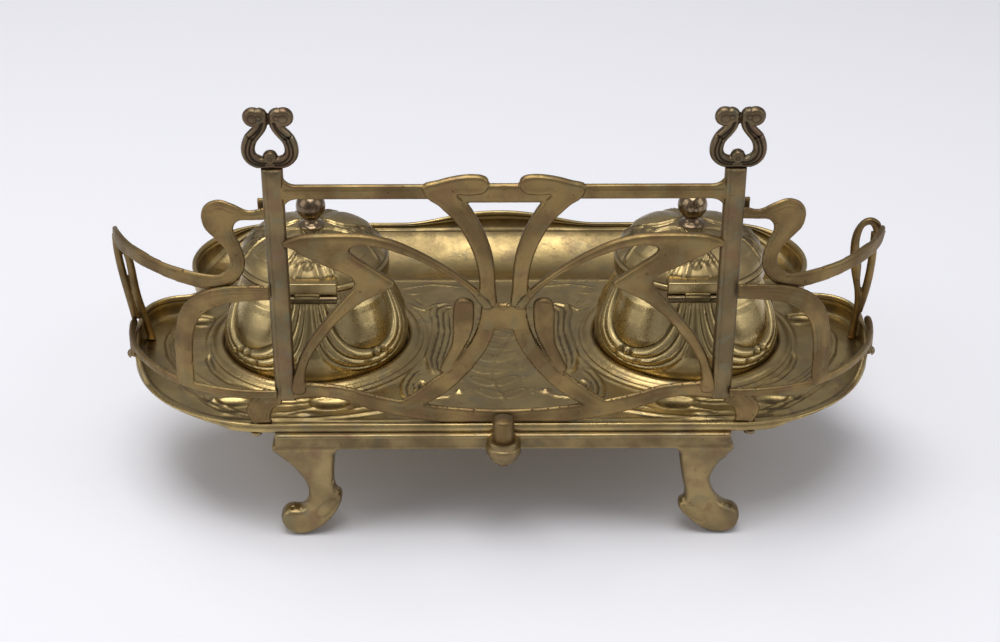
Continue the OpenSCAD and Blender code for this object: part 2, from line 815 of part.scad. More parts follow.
module well_body_shape() {
  wall = 1.6;
  difference() {
    union() {
      translate([0, 0, floor_z]) rotate_extrude($fn = 96) polygon(up_well(concat(
        [[0, 0], [well_foot_r, 0]], bell_side, [[neck_r, 34], [0, 34]]
      )));
      intersection() {
        for (a = [45 : 90 : 315]) rotate([0, 0, a])
          translate([well_foot_r - 15, 0, floor_z + body_h * 0.44]) sphere(r = 13.4);
        translate([0, 0, floor_z + 3]) cylinder(h = body_h - 5, r = well_foot_r);
      }
    }
    translate([0, 0, floor_z + sheet_t]) rotate_extrude($fn = 96) polygon(up_well(concat(
      [[0, 0], [well_foot_r - wall, 0]], [for (p = bell_side) [p[0] - wall, p[1] - 1.4]],
      [[neck_r - wall, 36], [0, 36]]
    )));
    pin(0, 0, floor_z - 1, floor_z + 4, bolt_r);
  }
}

module barrel(x0, x1, r) {
  translate([x0, -axis_y, axis_z]) rotate([0, 90, 0]) cylinder(h = x1 - x0, r = r, $fn = 32);
}

module well_collar_shape() {
  seat = 1.8;
  difference() {
    union() {
      translate([0, 0, collar_z]) cylinder(h = collar_h, r = lid_r, $fn = 96);
      box(-hinge_half, hinge_half, -axis_y + 1.8, -lid_r + 3, collar_z, axis_z - 0.4);
      both() {
        barrel(knuckle_half + knuckle_gap, hinge_half, barrel_r);
        box(knuckle_half + knuckle_gap, hinge_half, -axis_y, -lid_r + 3, axis_z - barrel_r, axis_z);
      }
    }
    translate([0, 0, collar_z - 1]) cylinder(h = collar_h, r = liner_r + 1.2);
    translate([0, 0, well_top - seat]) cylinder(h = collar_h, r = liner_r + 3.7);
    both() barrel(0, hinge_half + 1, pin_r);
  }
}

// open cup that hangs by its rim in the collar
module ink_liner_shape() {
  rim_z = well_top - 0.4;
  cup_h = well_h * 0.76;
  difference() {
    union() {
      translate([0, 0, rim_z - cup_h]) cylinder(h = cup_h, r = liner_r);
      translate([0, 0, rim_z - 1.4]) cylinder(h = 1.4, r = liner_r + 3.5);
    }
    translate([0, 0, rim_z - cup_h + liner_t]) cylinder(h = cup_h, r = liner_r - liner_t);
  }
}

function dome(k) = [
  for (i = [0 : k]) let (a = i / k * 90)
    [4 + (lid_r - 5.2) * cos(a), 2.6 + (dome_h - 2.6) * sin(a)]
];

module lid_shape() {
  difference() {
    union() {
      translate([0, 0, well_top]) rotate_extrude($fn = 96) polygon(concat(
        [[0, 0], [lid_r, 0], [lid_r, 1.8]], dome(12), [[0, dome_h]]
      ));
      box(-hinge_half, hinge_half, -axis_y + 0.6, -lid_r + 5, well_top + 0.8, well_top + 5.8);
      barrel(-knuckle_half, knuckle_half, barrel_r);
      box(-knuckle_half, knuckle_half, -axis_y, -axis_y + barrel_r, axis_z, well_top + 1.4);
    }
    translate([0, 0, well_top - eps]) rotate_extrude($fn = 96) polygon(concat(
      [[0, 0], [lid_r - 2.4, 0]],
      [for (p = dome(12)) [max(p[0] - lid_t, 0), p[1] - lid_t]], [[0, dome_h - lid_t]]
    ));
    barrel(-hinge_half - 1, hinge_half + 1, pin_r + run_fit);
    pin(0, 0, well_top, dome_top + 2, stud_r);
  }
}

module knob_shape() {
  from = acos(knob_neck / knob_r);
  translate([0, 0, dome_top]) rotate_extrude($fn = 48) polygon(concat(
    [[0, -lid_t - 3], [stud_r, -lid_t - 3], [stud_r, 0], [5.2, 0], [5.1, 0.7], [3.7, 1.3],
     [2.5, 2.4], [knob_neck, knob_lift - knob_r * sin(from)]],
    [for (i = [1 : 11]) let (a = lerp(from, -90, i / 11))
      [knob_r * cos(a), knob_lift - knob_r * sin(a)]]
  ));
}

module knob_nut_shape() {
  nut_z = dome_top - lid_t - eps - 2.2;
  difference() {
    pin(0, 0, nut_z, nut_z + 2.2, 2.7);
    pin(0, 0, nut_z - 1, nut_z + 4, stud_r);
  }
}

module well_bolt_shape() {
  pin(0, 0, floor_z + sheet_t, floor_z + sheet_t + 2.2, 4);
  pin(0, 0, stand_h - 3, floor_z + sheet_t + 1, bolt_r);
}

module well_nut_shape() {
  difference() {
    pin(0, 0, under_z - 4, under_z, 4.2);
    pin(0, 0, under_z - 5, under_z + 1, bolt_r);
  }
}

module well_body_left() {
  color(brass) at_well(-1) well_body_shape();
}

module well_body_right() {
  color(brass) at_well(1) well_body_shape();
}

module well_collar_left() {
  color(bright) at_well(-1) well_collar_shape();
}

module well_collar_right() {
  color(bright) at_well(1) well_collar_shape();
}

module ink_liner_left() {
  color(glaze) at_well(-1) ink_liner_shape();
}

module ink_liner_right() {
  color(glaze) at_well(1) ink_liner_shape();
}

module lid_left() {
  color(brass) at_well(-1) lid_shape();
}

module lid_right() {
  color(brass) at_well(1) lid_shape();
}

module knob_left() {
  color(dark_bronze) at_well(-1) knob_shape();
}

module knob_right() {
  color(dark_bronze) at_well(1) knob_shape();
}

module knob_nut_left() {
  color(bronze) at_well(-1) knob_nut_shape();
}

module knob_nut_right() {
  color(bronze) at_well(1) knob_nut_shape();
}

module hinge_pin_left() {
  color(bronze) at_well(-1) barrel(-hinge_half, hinge_half, pin_r);
}

module hinge_pin_right() {
  color(bronze) at_well(1) barrel(-hinge_half, hinge_half, pin_r);
}

module well_bolt_left() {
  color(bronze) at_well(-1) well_bolt_shape();
}

module well_bolt_right() {
  color(bronze) at_well(1) well_bolt_shape();
}

module well_nut_left() {
  color(bronze) at_well(-1) well_nut_shape();
}

module well_nut_right() {
  color(bronze) at_well(1) well_nut_shape();
}

tray();
gallery();
gallery_nut();
boot_screws();
finial_left();
finial_right();
bracket_left();
bracket_right();
bracket_rivets();
bracket_screws();
rear_foot_bar();
front_foot_bar();
bar_rivets();
well_body_left();
well_collar_left();
ink_liner_left();
lid_left();
knob_left();
knob_nut_left();
hinge_pin_left();
well_bolt_left();
well_nut_left();
well_body_right();
well_collar_right();
ink_liner_right();
lid_right();
knob_right();
knob_nut_right();
hinge_pin_right();
well_bolt_right();
well_nut_right();
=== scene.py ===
import math

import bmesh
import bpy
import numpy as np
from mathutils import Matrix, Vector


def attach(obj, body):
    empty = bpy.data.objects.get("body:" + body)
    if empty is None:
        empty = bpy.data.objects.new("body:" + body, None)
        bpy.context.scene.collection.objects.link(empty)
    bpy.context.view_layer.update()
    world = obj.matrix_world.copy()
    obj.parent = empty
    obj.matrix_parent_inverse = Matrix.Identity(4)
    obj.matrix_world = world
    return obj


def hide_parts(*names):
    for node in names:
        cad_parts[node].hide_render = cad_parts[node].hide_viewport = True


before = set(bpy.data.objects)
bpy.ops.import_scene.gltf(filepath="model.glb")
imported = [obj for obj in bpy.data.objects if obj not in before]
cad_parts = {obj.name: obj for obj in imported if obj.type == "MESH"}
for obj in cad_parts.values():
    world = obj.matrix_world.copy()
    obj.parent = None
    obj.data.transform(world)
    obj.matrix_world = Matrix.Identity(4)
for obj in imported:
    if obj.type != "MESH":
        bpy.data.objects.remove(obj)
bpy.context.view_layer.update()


# Gallery scrollwork. An open sand casting in brass that has browned with age: rail, hooks,
# long arms with barbed blades, legs and a low swag, screwed down on the near edge of the tray.
# Drawings are in millimetres from the row of wells, with the table at 0.
WELL_ROW_Y = -4.9
GALLERY_Y = -65.3
TRAY_FLOOR = 52.3


def in_metres(points):
    return (np.asarray(points, float) + (0, WELL_ROW_Y, 0)) / 1000


def smooth_outline(knots):
    k = np.array(knots, float)
    out = []
    for i in range(len(k)):
        a, b, c, d = k[i - 1], k[i], k[(i + 1) % len(k)], k[(i + 2) % len(k)]
        for t in (0, 0.25, 0.5, 0.75):
            out.append(0.5 * (2 * b + (c - a) * t + (2 * a - 5 * b + 4 * c - d) * t * t
                              + (3 * b - a - 3 * c + d) * t ** 3))
    return np.array(out)


def ribbon(line, widths):
    """Strap along a line of points: its outline, the line, and its half width along it."""
    line = np.array(line, float)
    along = np.gradient(line, axis=0)
    along /= np.linalg.norm(along, axis=1, keepdims=True)
    half = np.interp(np.linspace(0, 1, len(line)), np.linspace(0, 1, len(widths)), widths)
    across = np.stack([-along[:, 1], along[:, 0]], 1) * half[:, None]
    return np.concatenate([line + across, (line - across)[::-1]]), line, half


def bezier(controls):
    p = np.array(controls, float)
    t = np.linspace(0, 1, 19)[:, None]
    return ((1 - t) ** 3 * p[0] + 3 * t * (1 - t) ** 2 * p[1]
            + 3 * t * t * (1 - t) * p[2] + t ** 3 * p[3])


def strap(controls, widths):
    outline, line, half = ribbon(bezier(controls), widths)
    return outline, STRAP, line, half


def disc_outline(x, y, r):
    a = np.linspace(0, 2 * np.pi, 32, endpoint=False)
    return np.stack([x + r * np.cos(a), y + r * np.sin(a)], 1)


def oblong(x0, x1, y0, y1):
    return np.array([(x0, y0), (x1, y0), (x1, y1), (x0, y1)], float)


def mirrored(shape):
    outline, kind, *spine = shape
    return (np.asarray(outline) * (-1, 1))[::-1], kind, *([spine[0] * (-1, 1), spine[1]] if spine else [])


def line_distance(points, line, half=None):
    """Distance from a line of points; with half widths, the depth inside the strap round it."""
    best = np.full(len(points), 1e9)
    wide = np.zeros(len(points))
    for i, (a, b) in enumerate(zip(line, line[1:])):
        run = b - a
        t = np.clip((points - a) @ run / max(run @ run, 1e-12), 0, 1)
        away = np.hypot(*(points - a - t[:, None] * run).T)
        nearer = away < best
        best[nearer] = away[nearer]
        if half is not None:
            wide[nearer] = (half[i] + (half[i + 1] - half[i]) * t)[nearer]
    return best if half is None else wide - best


def depth_inside(points, outline):
    """Distance of each point from an outline, positive inside it."""
    closed = np.concatenate([outline, outline[:1]])
    inside = np.zeros(len(points), bool)
    for a, b in zip(closed, closed[1:]):
        rise = b[1] - a[1]
        if abs(rise) > 1e-12:
            crosses = (a[1] > points[:, 1]) != (b[1] > points[:, 1])
            inside ^= crosses & (points[:, 0] < a[0] + (points[:, 1] - a[1]) * (b[0] - a[0]) / rise)
    return np.where(inside, 1, -1) * line_distance(points, closed)


STRAP, RAIL, BOOT = range(3)
RAISED = 10
HOOK, LEAF, ARM = range(RAISED, RAISED + 3)


def union_of(shapes, bottom=None):
    """Field of several shapes cut off at a bottom height: depth inside the whole, and for the
    deepest shape, or the last raised one, its kind and the depth that its grooves follow."""
    def field(points):
        depth = np.full(len(points), -9.0)
        trace = np.zeros((len(points), 2))
        for outline, kind, *spine in shapes:
            near = ((points > outline.min(0) - 2) & (points < outline.max(0) + 2)).all(1)
            d = depth_inside(points[near], outline)
            takes = (d > depth[near]) & (trace[near, 0] < RAISED) | (d > 0) & (kind >= RAISED)
            index = np.nonzero(near)[0]
            depth[index] = np.maximum(depth[index], d)
            index = index[takes]
            trace[index, 0] = kind
            trace[index, 1] = line_distance(points[index], *spine) if spine else d[takes]
        if bottom is not None:
            depth = np.minimum(depth, points[:, 1] - bottom)
        return depth, trace
    low = np.min([shape[0].min(0) for shape in shapes], axis=0)
    high = np.max([shape[0].max(0) for shape in shapes], axis=0)
    return field, low, high


def new_mesh(name, points, faces, hollow):
    mesh = bpy.data.meshes.new(name)
    mesh.from_pydata(in_metres(points).tolist(), [], faces)
    mesh.attributes.new("hollow", "FLOAT", "POINT").data.foreach_set("value", hollow.astype(np.float32))
    work = bmesh.new()
    work.from_mesh(mesh)
    bmesh.ops.recalc_face_normals(work, faces=work.faces)
    work.to_mesh(mesh)
    work.free()
    mesh.shade_smooth()
    piece = bpy.data.objects.new(name, mesh)
    bpy.context.scene.collection.objects.link(piece)
    return piece


def casting(name, shapes, place, step, flat_back=False):
    """Closed casting over a plane field. place(u, v, depth, trace, side) gives points and
    per-point darkness (tarnish, and on some pieces painted shade) for side -1, the face, and side 1, the
    back."""
    field, low, high = shapes
    u = np.arange(low[0] - 2 * step, high[0] + 3 * step, step)
    v = np.arange(low[1] - 2 * step, high[1] + 3 * step, step)
    U, V = np.meshgrid(u, v, indexing="ij")
    depth, trace = field(np.stack([U.ravel(), V.ravel()], 1))
    depth, trace = depth.reshape(U.shape), trace.reshape(*U.shape, 2)
    gu, gv = np.gradient(depth, step)
    size = np.maximum(gu ** 2 + gv ** 2, 0.3)
    snap = np.abs(depth) < 0.55 * step
    U[snap] -= (depth * gu / size)[snap]
    V[snap] -= (depth * gv / size)[snap]
    depth[snap] = 0
    used = depth >= 0
    index = np.cumsum(used).reshape(used.shape) - 1
    n = int(used.sum())
    corners = [(0, 0), (1, 0), (1, 1), (0, 1)]
    cut = [slice(None, -1), slice(1, None)]
    ok = np.stack([used[cut[a], cut[b]] for a, b in corners])
    ids = np.stack([index[cut[a], cut[b]] for a, b in corners])
    full = ok.all(0)
    faces = [ids[:, full].T]
    for gone in range(4):
        three = (ok.sum(0) == 3) & ~ok[gone]
        faces.append(ids[[k for k in range(4) if k != gone]][:, three].T)
    face_lists = [f.tolist() for f in faces]
    edges = np.concatenate([np.stack([f, np.roll(f, -1, 1)], -1).reshape(-1, 2) for f in faces])
    key = edges[:, 0] * n + edges[:, 1]
    rim = edges[~np.isin(key, edges[:, 1] * n + edges[:, 0])]
    args = U[used], V[used], depth[used], trace[used]
    top, tone = place(*args, -1)
    every = [q for group in face_lists for q in group]
    if flat_back:
        after = dict(rim.tolist())
        loop = [rim[0, 0]]
        while after[loop[-1]] != loop[0]:
            loop.append(after[loop[-1]])
        loop = np.array(loop)
        under, _ = place(*(a[loop] for a in args), 1)
        under_id = {int(a): n + i for i, a in enumerate(loop)}
        every += [[int(b), int(a), under_id[int(a)], under_id[int(b)]] for a, b in rim]
        every.append([n + i for i in range(len(loop))][::-1])
        return new_mesh(name, np.concatenate([top, under]), every,
                        np.concatenate([tone, tone[loop]]))
    under, under_tone = place(*args, 1)
    every += [[q + n for q in reversed(f)] for group in face_lists for f in group]
    every += [[int(b), int(a), int(a) + n, int(b) + n] for a, b in rim]
    return new_mesh(name, np.concatenate([top, under]), every, np.concatenate([tone, under_tone]))


def ramp(x):
    return np.clip(x, 0, 1)


def bead(distance, at, width):
    return np.exp(-((distance - at) / width) ** 2)


def rounded(depth, thick, radius, square):
    """Half thickness at a depth from the edge: square 1 keeps a sharp edge, 0 a round one."""
    t = 1 - ramp(depth / radius)
    return thick / 2 * (square + (1 - square) * np.sqrt(1 - t * t))


def aged_brass(name, bright, dull, dark, rough, patches=((0.16, 0.13, 0.09), (0.17, 0.1, 0.075)),
               pits=0.3, cover=0.5, shade_below_y=None, uneven=0.45):
    """Brass with rubbed ridges, soft stains and fine pits, darker with each mesh's per-point darkness:
    tarnish in recesses and, on some pieces, painted shade. A y limit, if given, paints a shadow on all below
    it.
    """
    material = bpy.data.materials.new(name)
    material.use_nodes = True
    tree = material.node_tree
    shader = tree.nodes["Principled BSDF"]
    shader.inputs["Metallic"].default_value = 1.0

    def node(kind, **values):
        made = tree.nodes.new(kind)
        for key, value in values.items():
            if hasattr(made, key):
                setattr(made, key, value)
            else:
                made.inputs[key.replace("_", " ")].default_value = value
        return made

    def noise(scale, detail=4.0, offset=0.0):
        shift = node("ShaderNodeMapping")
        shift.inputs["Location"].default_value = (offset, offset * 0.7, offset * 1.3)
        tree.links.new(coordinates.outputs["Object"], shift.inputs["Vector"])
        made = node("ShaderNodeTexNoise", Scale=scale, Detail=detail)
        tree.links.new(shift.outputs["Vector"], made.inputs["Vector"])
        return made.outputs["Fac"]

    def span(source, low, high, to_low=0.0, to_high=1.0):
        made = node("ShaderNodeMapRange")
        made.interpolation_type = "SMOOTHSTEP"
        for socket, value in zip(made.inputs[1:5], (low, high, to_low, to_high)):
            socket.default_value = value
        tree.links.new(source, made.inputs["Value"])
        return made.outputs["Result"]

    def mix(factor, a, b):
        made = node("ShaderNodeMix", data_type="RGBA")
        tree.links.new(factor, made.inputs[0])
        for socket, value in ((made.inputs[6], a), (made.inputs[7], b)):
            if isinstance(value, bpy.types.NodeSocket):
                tree.links.new(value, socket)
            else:
                socket.default_value = (*value, 1)
        return made.outputs[2]

    def combine(a, b, how="ADD"):
        made = node("ShaderNodeMath", operation=how)
        for socket, value in zip(made.inputs, (a, b)):
            if isinstance(value, bpy.types.NodeSocket):
                tree.links.new(value, socket)
            else:
                socket.default_value = value
        return made.outputs[0]

    coordinates = node("ShaderNodeTexCoord")
    hollow = node("ShaderNodeAttribute", attribute_name="hollow").outputs["Fac"]
    cloud = noise(60, 6, 0.3)
    stain = noise(150, 4, 1.1)
    grain = noise(900, 3, 2.2)
    speck = noise(560, 2, 3.1)
    colour = mix(span(cloud, 0.36, 0.64), bright, dull)
    colour = mix(span(stain, 0.52, 0.66, 0, cover), colour, patches[0])
    colour = mix(span(noise(95, 6, 5.7), 0.54, 0.66, 0, cover), colour, patches[1])
    colour = mix(span(speck, 0.66, 0.76, 0, pits), colour, dark)
    # Darker with the per-point darkness (tarnish in recesses, painted shade on some pieces) and with the
    # stain noise.
    grime_and_shade = combine(hollow, combine(stain, 0.55, "MULTIPLY"))
    colour = mix(span(grime_and_shade, 0.5, 1.15, 0, 0.85), colour, dark)
    # Painted shadow: below the given y the colour goes dark.
    if shade_below_y is not None:
        parts = node("ShaderNodeSeparateXYZ")
        tree.links.new(coordinates.outputs["Object"], parts.inputs["Vector"])
        edge = span(parts.outputs["Y"], shade_below_y, shade_below_y + 0.0008, 0.8, 0)
        colour = mix(edge, colour, dark)
    tree.links.new(colour, shader.inputs["Base Color"])
    dulling = combine(span(cloud, 0.3, 0.7, rough - 0.06, rough + 0.08),
                      combine(hollow, 0.16, "MULTIPLY"))
    tree.links.new(combine(dulling, span(grain, 0.3, 0.7, -0.04, 0.04)), shader.inputs["Roughness"])
    bump = node("ShaderNodeBump", Strength=uneven, Distance=0.0003)
    surface = combine(combine(grain, 0.35, "MULTIPLY"), combine(noise(260, 4, 4.4), 0.8, "MULTIPLY"))
    tree.links.new(combine(surface, span(speck, 0.64, 0.76, 0, -pits)), bump.inputs["Height"])
    tree.links.new(bump.outputs["Normal"], shader.inputs["Normal"])
    return material


def fit(piece, slot, material, *nodes, body="stand"):
    """Give a finished piece its material, its body and the nodes that it stands for."""
    piece.data.materials.clear()
    piece.data.materials.append(material)
    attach(piece, body)
    if nodes:
        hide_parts(*nodes)


cast_bronze = aged_brass("browned_casting", (0.27, 0.185, 0.075), (0.17, 0.112, 0.05),
                         (0.045, 0.03, 0.018), 0.44,
                         ((0.205, 0.17, 0.085), (0.2, 0.115, 0.06)), 0.5, 0.5)

hook = smooth_outline([
    (29.6, 154.9), (24.3, 156.7), (19.4, 158.1), (14, 159), (9.5, 159), (7, 158.3), (5.8, 157),
    (5.6, 154.6), (8, 152), (13, 151.4), (17, 151.6), (15.6, 149.6), (13.4, 147.5), (11.2, 144.1),
    (9.3, 140.3), (7.3, 136.3), (5.9, 132.4), (4.6, 127.9), (3.8, 123.7), (3.3, 118.9),
    (3.1, 113.5), (3.1, 105), (9.1, 105), (9.2, 114), (9.7, 119.5), (10.9, 125), (12.4, 129.4),
    (14.3, 133.6), (16.4, 137.6), (18.7, 141), (21.3, 143.7), (24.3, 146.8), (27.8, 149.4)])
arm_and_blade = smooth_outline([
    (81.6, 132.3), (77, 134.1), (72.5, 134.9), (65, 135.3), (58, 135.3), (52, 135), (47, 134.1),
    (42, 132.7), (38, 131.1), (33.7, 128.9), (29, 126.3), (24.5, 123.4), (20, 120.3),
    (15, 116.4), (10.4, 112.4), (5.5, 107.2), (4.4, 104), (8, 104), (11.7, 109.2), (15.5, 113.2),
    (20, 117.1), (24.5, 119.9), (28, 121.9), (33.5, 124.8), (37.5, 126.4), (42.5, 128.3),
    (45.4, 129.1), (49, 129.9), (53, 130.2), (56.4, 129.4), (56.9, 127.6), (54.5, 125.2),
    (51, 122.7), (47.2, 119.9), (43.6, 117.2), (40.9, 115.2), (40.9, 113.2), (43.4, 111.6),
    (48, 109.2), (53, 106.3), (57, 103.2), (60.5, 100), (64, 96.2), (66.7, 92.4), (70, 88),
    (72.8, 83.6), (74.8, 79.2), (75.9, 74), (76.4, 67), (81.6, 67), (81.2, 72), (79.6, 77),
    (77.8, 82.3), (75.5, 87.2), (73, 91.6), (70, 95.6), (67, 99.4), (64, 103.4), (61, 107),
    (58.2, 110.2), (56.2, 113), (56.6, 116.4), (59.8, 118.6), (63.3, 120.2), (67, 122),
    (71, 124.2), (75, 126.4), (78.5, 128.9), (81.6, 130)])
boot = smooth_outline(np.add([
    (-2.6, 16.5), (-2, 12), (3, 15.6), (8, 12.7), (11.2, 7.7), (11.4, 4.3), (9.9, 1.3),
    (10, 0.1), (6.4, 0.1), (4.4, 0.3), (2, 0.2), (2.4, 2.7), (1, 7), (-2.4, 9.4)], (88, 52.3)))
leaf = smooth_outline([
    (11.1, 104.6), (12.2, 107), (15, 107.9), (17.8, 106.9), (19.1, 103.4), (19.3, 97), (19.4, 91),
    (20.2, 86.6), (22.6, 81.2), (24.4, 76.4), (21.6, 75.4), (18.4, 79.4), (15, 86), (12.3, 92),
    (11.3, 97)])
half_gallery = [
    (hook, HOOK), (leaf, LEAF), (arm_and_blade, ARM), (boot, BOOT),
    strap([(5.6, 108), (4.6, 98), (7.6, 88), (15, 79)], [3, 3.4, 3.5]),
    strap([(14.2, 79.9), (21.6, 70.8), (30, 63.4), (42, 58.6)], [3.6, 3.9, 2.4]),
    strap([(81.8, 67), (73, 67.6), (66, 67.5), (57.5, 64.6)], [3.7, 3, 3])]
for side in (1, -1):
    fillet = [(-5 + 5 * math.cos(a), 5 - 5 * math.sin(a)) for a in np.linspace(0, math.pi / 2, 7)]
    fillet = [(80.8 + x, 152.2 + side * (2.9 + z)) for x, z in [(0, -1), *fillet, (-5, -1)]]
    half_gallery.append((np.array(fillet)[::side], RAIL))
swag = bezier([(58.4, 64.6), (45, 59.2), (25, 54.8), (0, 54.7)])
swag, *swag_spine = ribbon(np.concatenate([swag, (swag * (-1, 1))[-2::-1]]), [3.2, 3.7, 3.4, 3.7, 3.2])
knot = np.array([(5, 93.6), (6, 106.5), (3.6, 108), (2.2, 105.6), (0, 105.4), (-2.2, 105.6), (-3.6, 108),
                 (-6, 106.5), (-5, 93.6), (0, 94.4)])
whole_gallery = half_gallery + [mirrored(shape) for shape in half_gallery] + [
    (oblong(-82, 82, 149.3, 155.1), RAIL), (oblong(-19, 19, 147.8, 155.4), RAIL), (knot, RAIL),
    (swag, STRAP, *swag_spine)]


def scrollwork(u, v, depth, trace, side):
    kind, along = trace.T
    trough = ramp((along - 1.1) / 1.6)
    carve = np.select([kind == STRAP, kind == HOOK, kind == LEAF, kind == ARM, kind == RAIL],
                      [0.35 * trough + 0.16 * bead(along, 1.2, 0.3),
                       0.3 * trough + 0.1 * bead(along, 1.2, 0.3),
                       0.25 * trough, 0.1 * bead(along, 1.4, 0.35),
                       0.35 * bead(along, 1.5, 0.35) + 0.2 * bead(along, 2.9, 0.3)],
                      0.45 * bead(along, 1.7, 0.4) + 0.3 * bead(along, 3.1, 0.4))
    lift = np.where(kind >= RAISED, ramp(along / 0.7) * np.where(kind == LEAF, 0.35, 0.6), 0)
    half = rounded(depth, 3, 2.3, 0.2) - 0.5 * carve
    if side < 0:
        half += lift - 0.5 * carve
    points = np.stack([u, GALLERY_Y + side * half, v], 1)
    seam = (kind >= RAISED) * bead(along, 0.1, 0.35) * (depth > 1)
    return points, ramp(0.9 * carve + 0.9 * seam)


fit(casting("gallery_scrollwork", union_of(whole_gallery, TRAY_FLOOR + 0.25), scrollwork, 0.5),
    "cast_bronze", cast_bronze, "gallery")


# Gallery posts. Brown bars cast with the gallery, rounded towards their edges and with one line
# down the face near the left edge; they stand on the spreading boots and carry the lyres.
POST_X, POST_Y, TOP = 84.1, -64.25, 161.5


def post(u, v, depth, trace, side):
    across = u - np.sign(u) * POST_X
    carve = 0.35 * bead(across, -1.9, 0.35) + 0.12 * bead(across, 2.3, 0.5)
    half = rounded(depth, 5.5, 3.4, 0.35) - carve
    # Painted shade: the right-hand strip of each post is darker, besides its grooves.
    shade = ramp(carve * 1.6 + 0.2 * (across > 2.6))
    return np.stack([u, POST_Y + side * half, v], 1), shade


post_bronze = aged_brass("greened_casting", (0.235, 0.17, 0.08), (0.17, 0.125, 0.065),
                         (0.04, 0.03, 0.02), 0.42,
                         ((0.17, 0.165, 0.105), (0.2, 0.115, 0.065)), 0.5, 0.6)
for name, x in (("left", -POST_X), ("right", POST_X)):
    shape = union_of([(oblong(x - 3.9, x + 3.9, 62.4, TOP), 0)])
    fit(casting("gallery_post_" + name, shape, post, 0.45), "cast_bronze", post_bronze)


# Stub and eye in the middle of the gallery edge. A round cast peg on the gallery stands in
# the eye of the rear foot bar, and a round nut pulls it down from below.
def turned(name, centre, profile, sides=64):
    """Turned piece: a circle drawn up and scaled from one profile point to the next."""
    x, y = centre[0] / 1000, (centre[1] + WELL_ROW_Y) / 1000
    bpy.ops.object.select_all(action="DESELECT")
    radius, height = profile[0]
    bpy.ops.mesh.primitive_circle_add(vertices=sides, radius=radius / 1000,
                                      location=(x, y, height / 1000))
    piece = bpy.context.object
    piece.name = piece.data.name = name
    bpy.ops.object.mode_set(mode="EDIT")
    bpy.ops.mesh.select_all(action="SELECT")
    for (r0, z0), (r1, z1) in zip(profile, profile[1:]):
        bpy.ops.mesh.extrude_region_move(TRANSFORM_OT_translate={"value": (0, 0, (z1 - z0) / 1000)})
        bpy.ops.transform.resize(value=(r1 / r0, r1 / r0, 1), center_override=(x, y, z1 / 1000))
    bpy.ops.mesh.select_all(action="SELECT")
    bpy.ops.mesh.remove_doubles(threshold=0.00004)
    bpy.ops.mesh.normals_make_consistent(inside=False)
    bpy.ops.object.mode_set(mode="OBJECT")
    bpy.ops.object.transform_apply(location=True, rotation=True, scale=True)
    bpy.ops.object.shade_smooth_by_angle(angle=math.radians(50))
    return piece


def joined(first, *others):
    bpy.ops.object.select_all(action="DESELECT")
    for other in (first, *others):
        other.select_set(True)
    bpy.context.view_layer.objects.active = first
    bpy.ops.object.join()
    return first


TIP = 0.01
STUB_Y = -71.4
stub = turned("gallery_stub", (0, STUB_Y), [
    (TIP, 46.4), (3.9, 46.4), (4.2, 46.9), (4.2, 56.6), (4.0, 57.4), (3.3, 57.9), (TIP, 58.1)], 48)
tenon = turned("gallery_tenon", (0, STUB_Y), [
    (TIP, 37.0), (2.2, 37.0), (2.4, 37.3), (2.4, 46.5), (TIP, 46.5)], 32)
fit(joined(stub, tenon), "cast_bronze", cast_bronze)


# Lyre finials. Small castings of two rounded arms that part above the post and curl back in
# round balls at the top; darker than the posts, with a line sunk along each arm.
dark_bronze = aged_brass("dark_casting", (0.2, 0.145, 0.08), (0.13, 0.095, 0.055),
                         (0.03, 0.022, 0.015), 0.36,
                         ((0.15, 0.145, 0.1), (0.16, 0.09, 0.06)), 0.35, 0.5)
lyre_arm = [
    strap([(0.4, TOP + 2.1), (8, TOP + 1.3), (9.4, TOP + 6.9), (6.4, TOP + 12)], [2.3, 2.6, 2.5]),
    strap([(6.6, TOP + 11.6), (4.8, TOP + 14.2), (2.1, TOP + 15.4), (2.2, TOP + 19.4), (3.8, TOP + 21.6)],
          [2.5, 2.3, 2.1]),
    (disc_outline(5.5, TOP + 19.9, 3.7), 1), (disc_outline(3.1, TOP + 20.3, 3.1), 1),
    (disc_outline(0, TOP + 4.2, 2.8), 1),
    (oblong(-3.1, 3.1, TOP, TOP + 3), 1)]
lyre_shapes = lyre_arm + [mirrored(shape) for shape in lyre_arm]


def lyre(u, v, depth, trace, side):
    carve = np.where(trace[:, 0] == 0, 0.7 * bead(trace[:, 1], 1.9, 0.42), 0.35 * bead(depth, 2.1, 0.5))
    half = rounded(depth, 4.8, 2.6, 0.05) - carve
    return np.stack([u, POST_Y + side * half, v], 1), ramp(carve * 1.8)


for name, x in (("left", -84.4), ("right", 84.4)):
    field = union_of([(outline + (x, 0), kind, *([spine[0] + (x, 0), spine[1]] if spine else []))
                      for outline, kind, *spine in lyre_shapes], TOP)
    fit(casting("lyre_" + name, field, lyre, 0.34), "dark_bronze", dark_bronze, "finial_" + name)


# Side brackets. Each is one thin casting bent round the tray corner: a scroll strap that
# becomes the side handle, an arch, and a band along the rim, with tines below the handle's end.
def past_corner(outline, centre_x, radius, centre_y=None):
    """Unroll a line drawn from the front, or from the side, onto the bent strap."""
    out = np.array(outline, float)
    if centre_y is None:
        beyond = out[:, 0] > centre_x
        part = ramp((out[beyond, 0] - centre_x) / radius)
        out[beyond, 0] = centre_x + radius * np.arcsin(part)
    else:
        out[:, 0] = centre_x + radius * np.arccos(np.clip((centre_y - out[:, 0]) / radius, -1, 1))
    return out


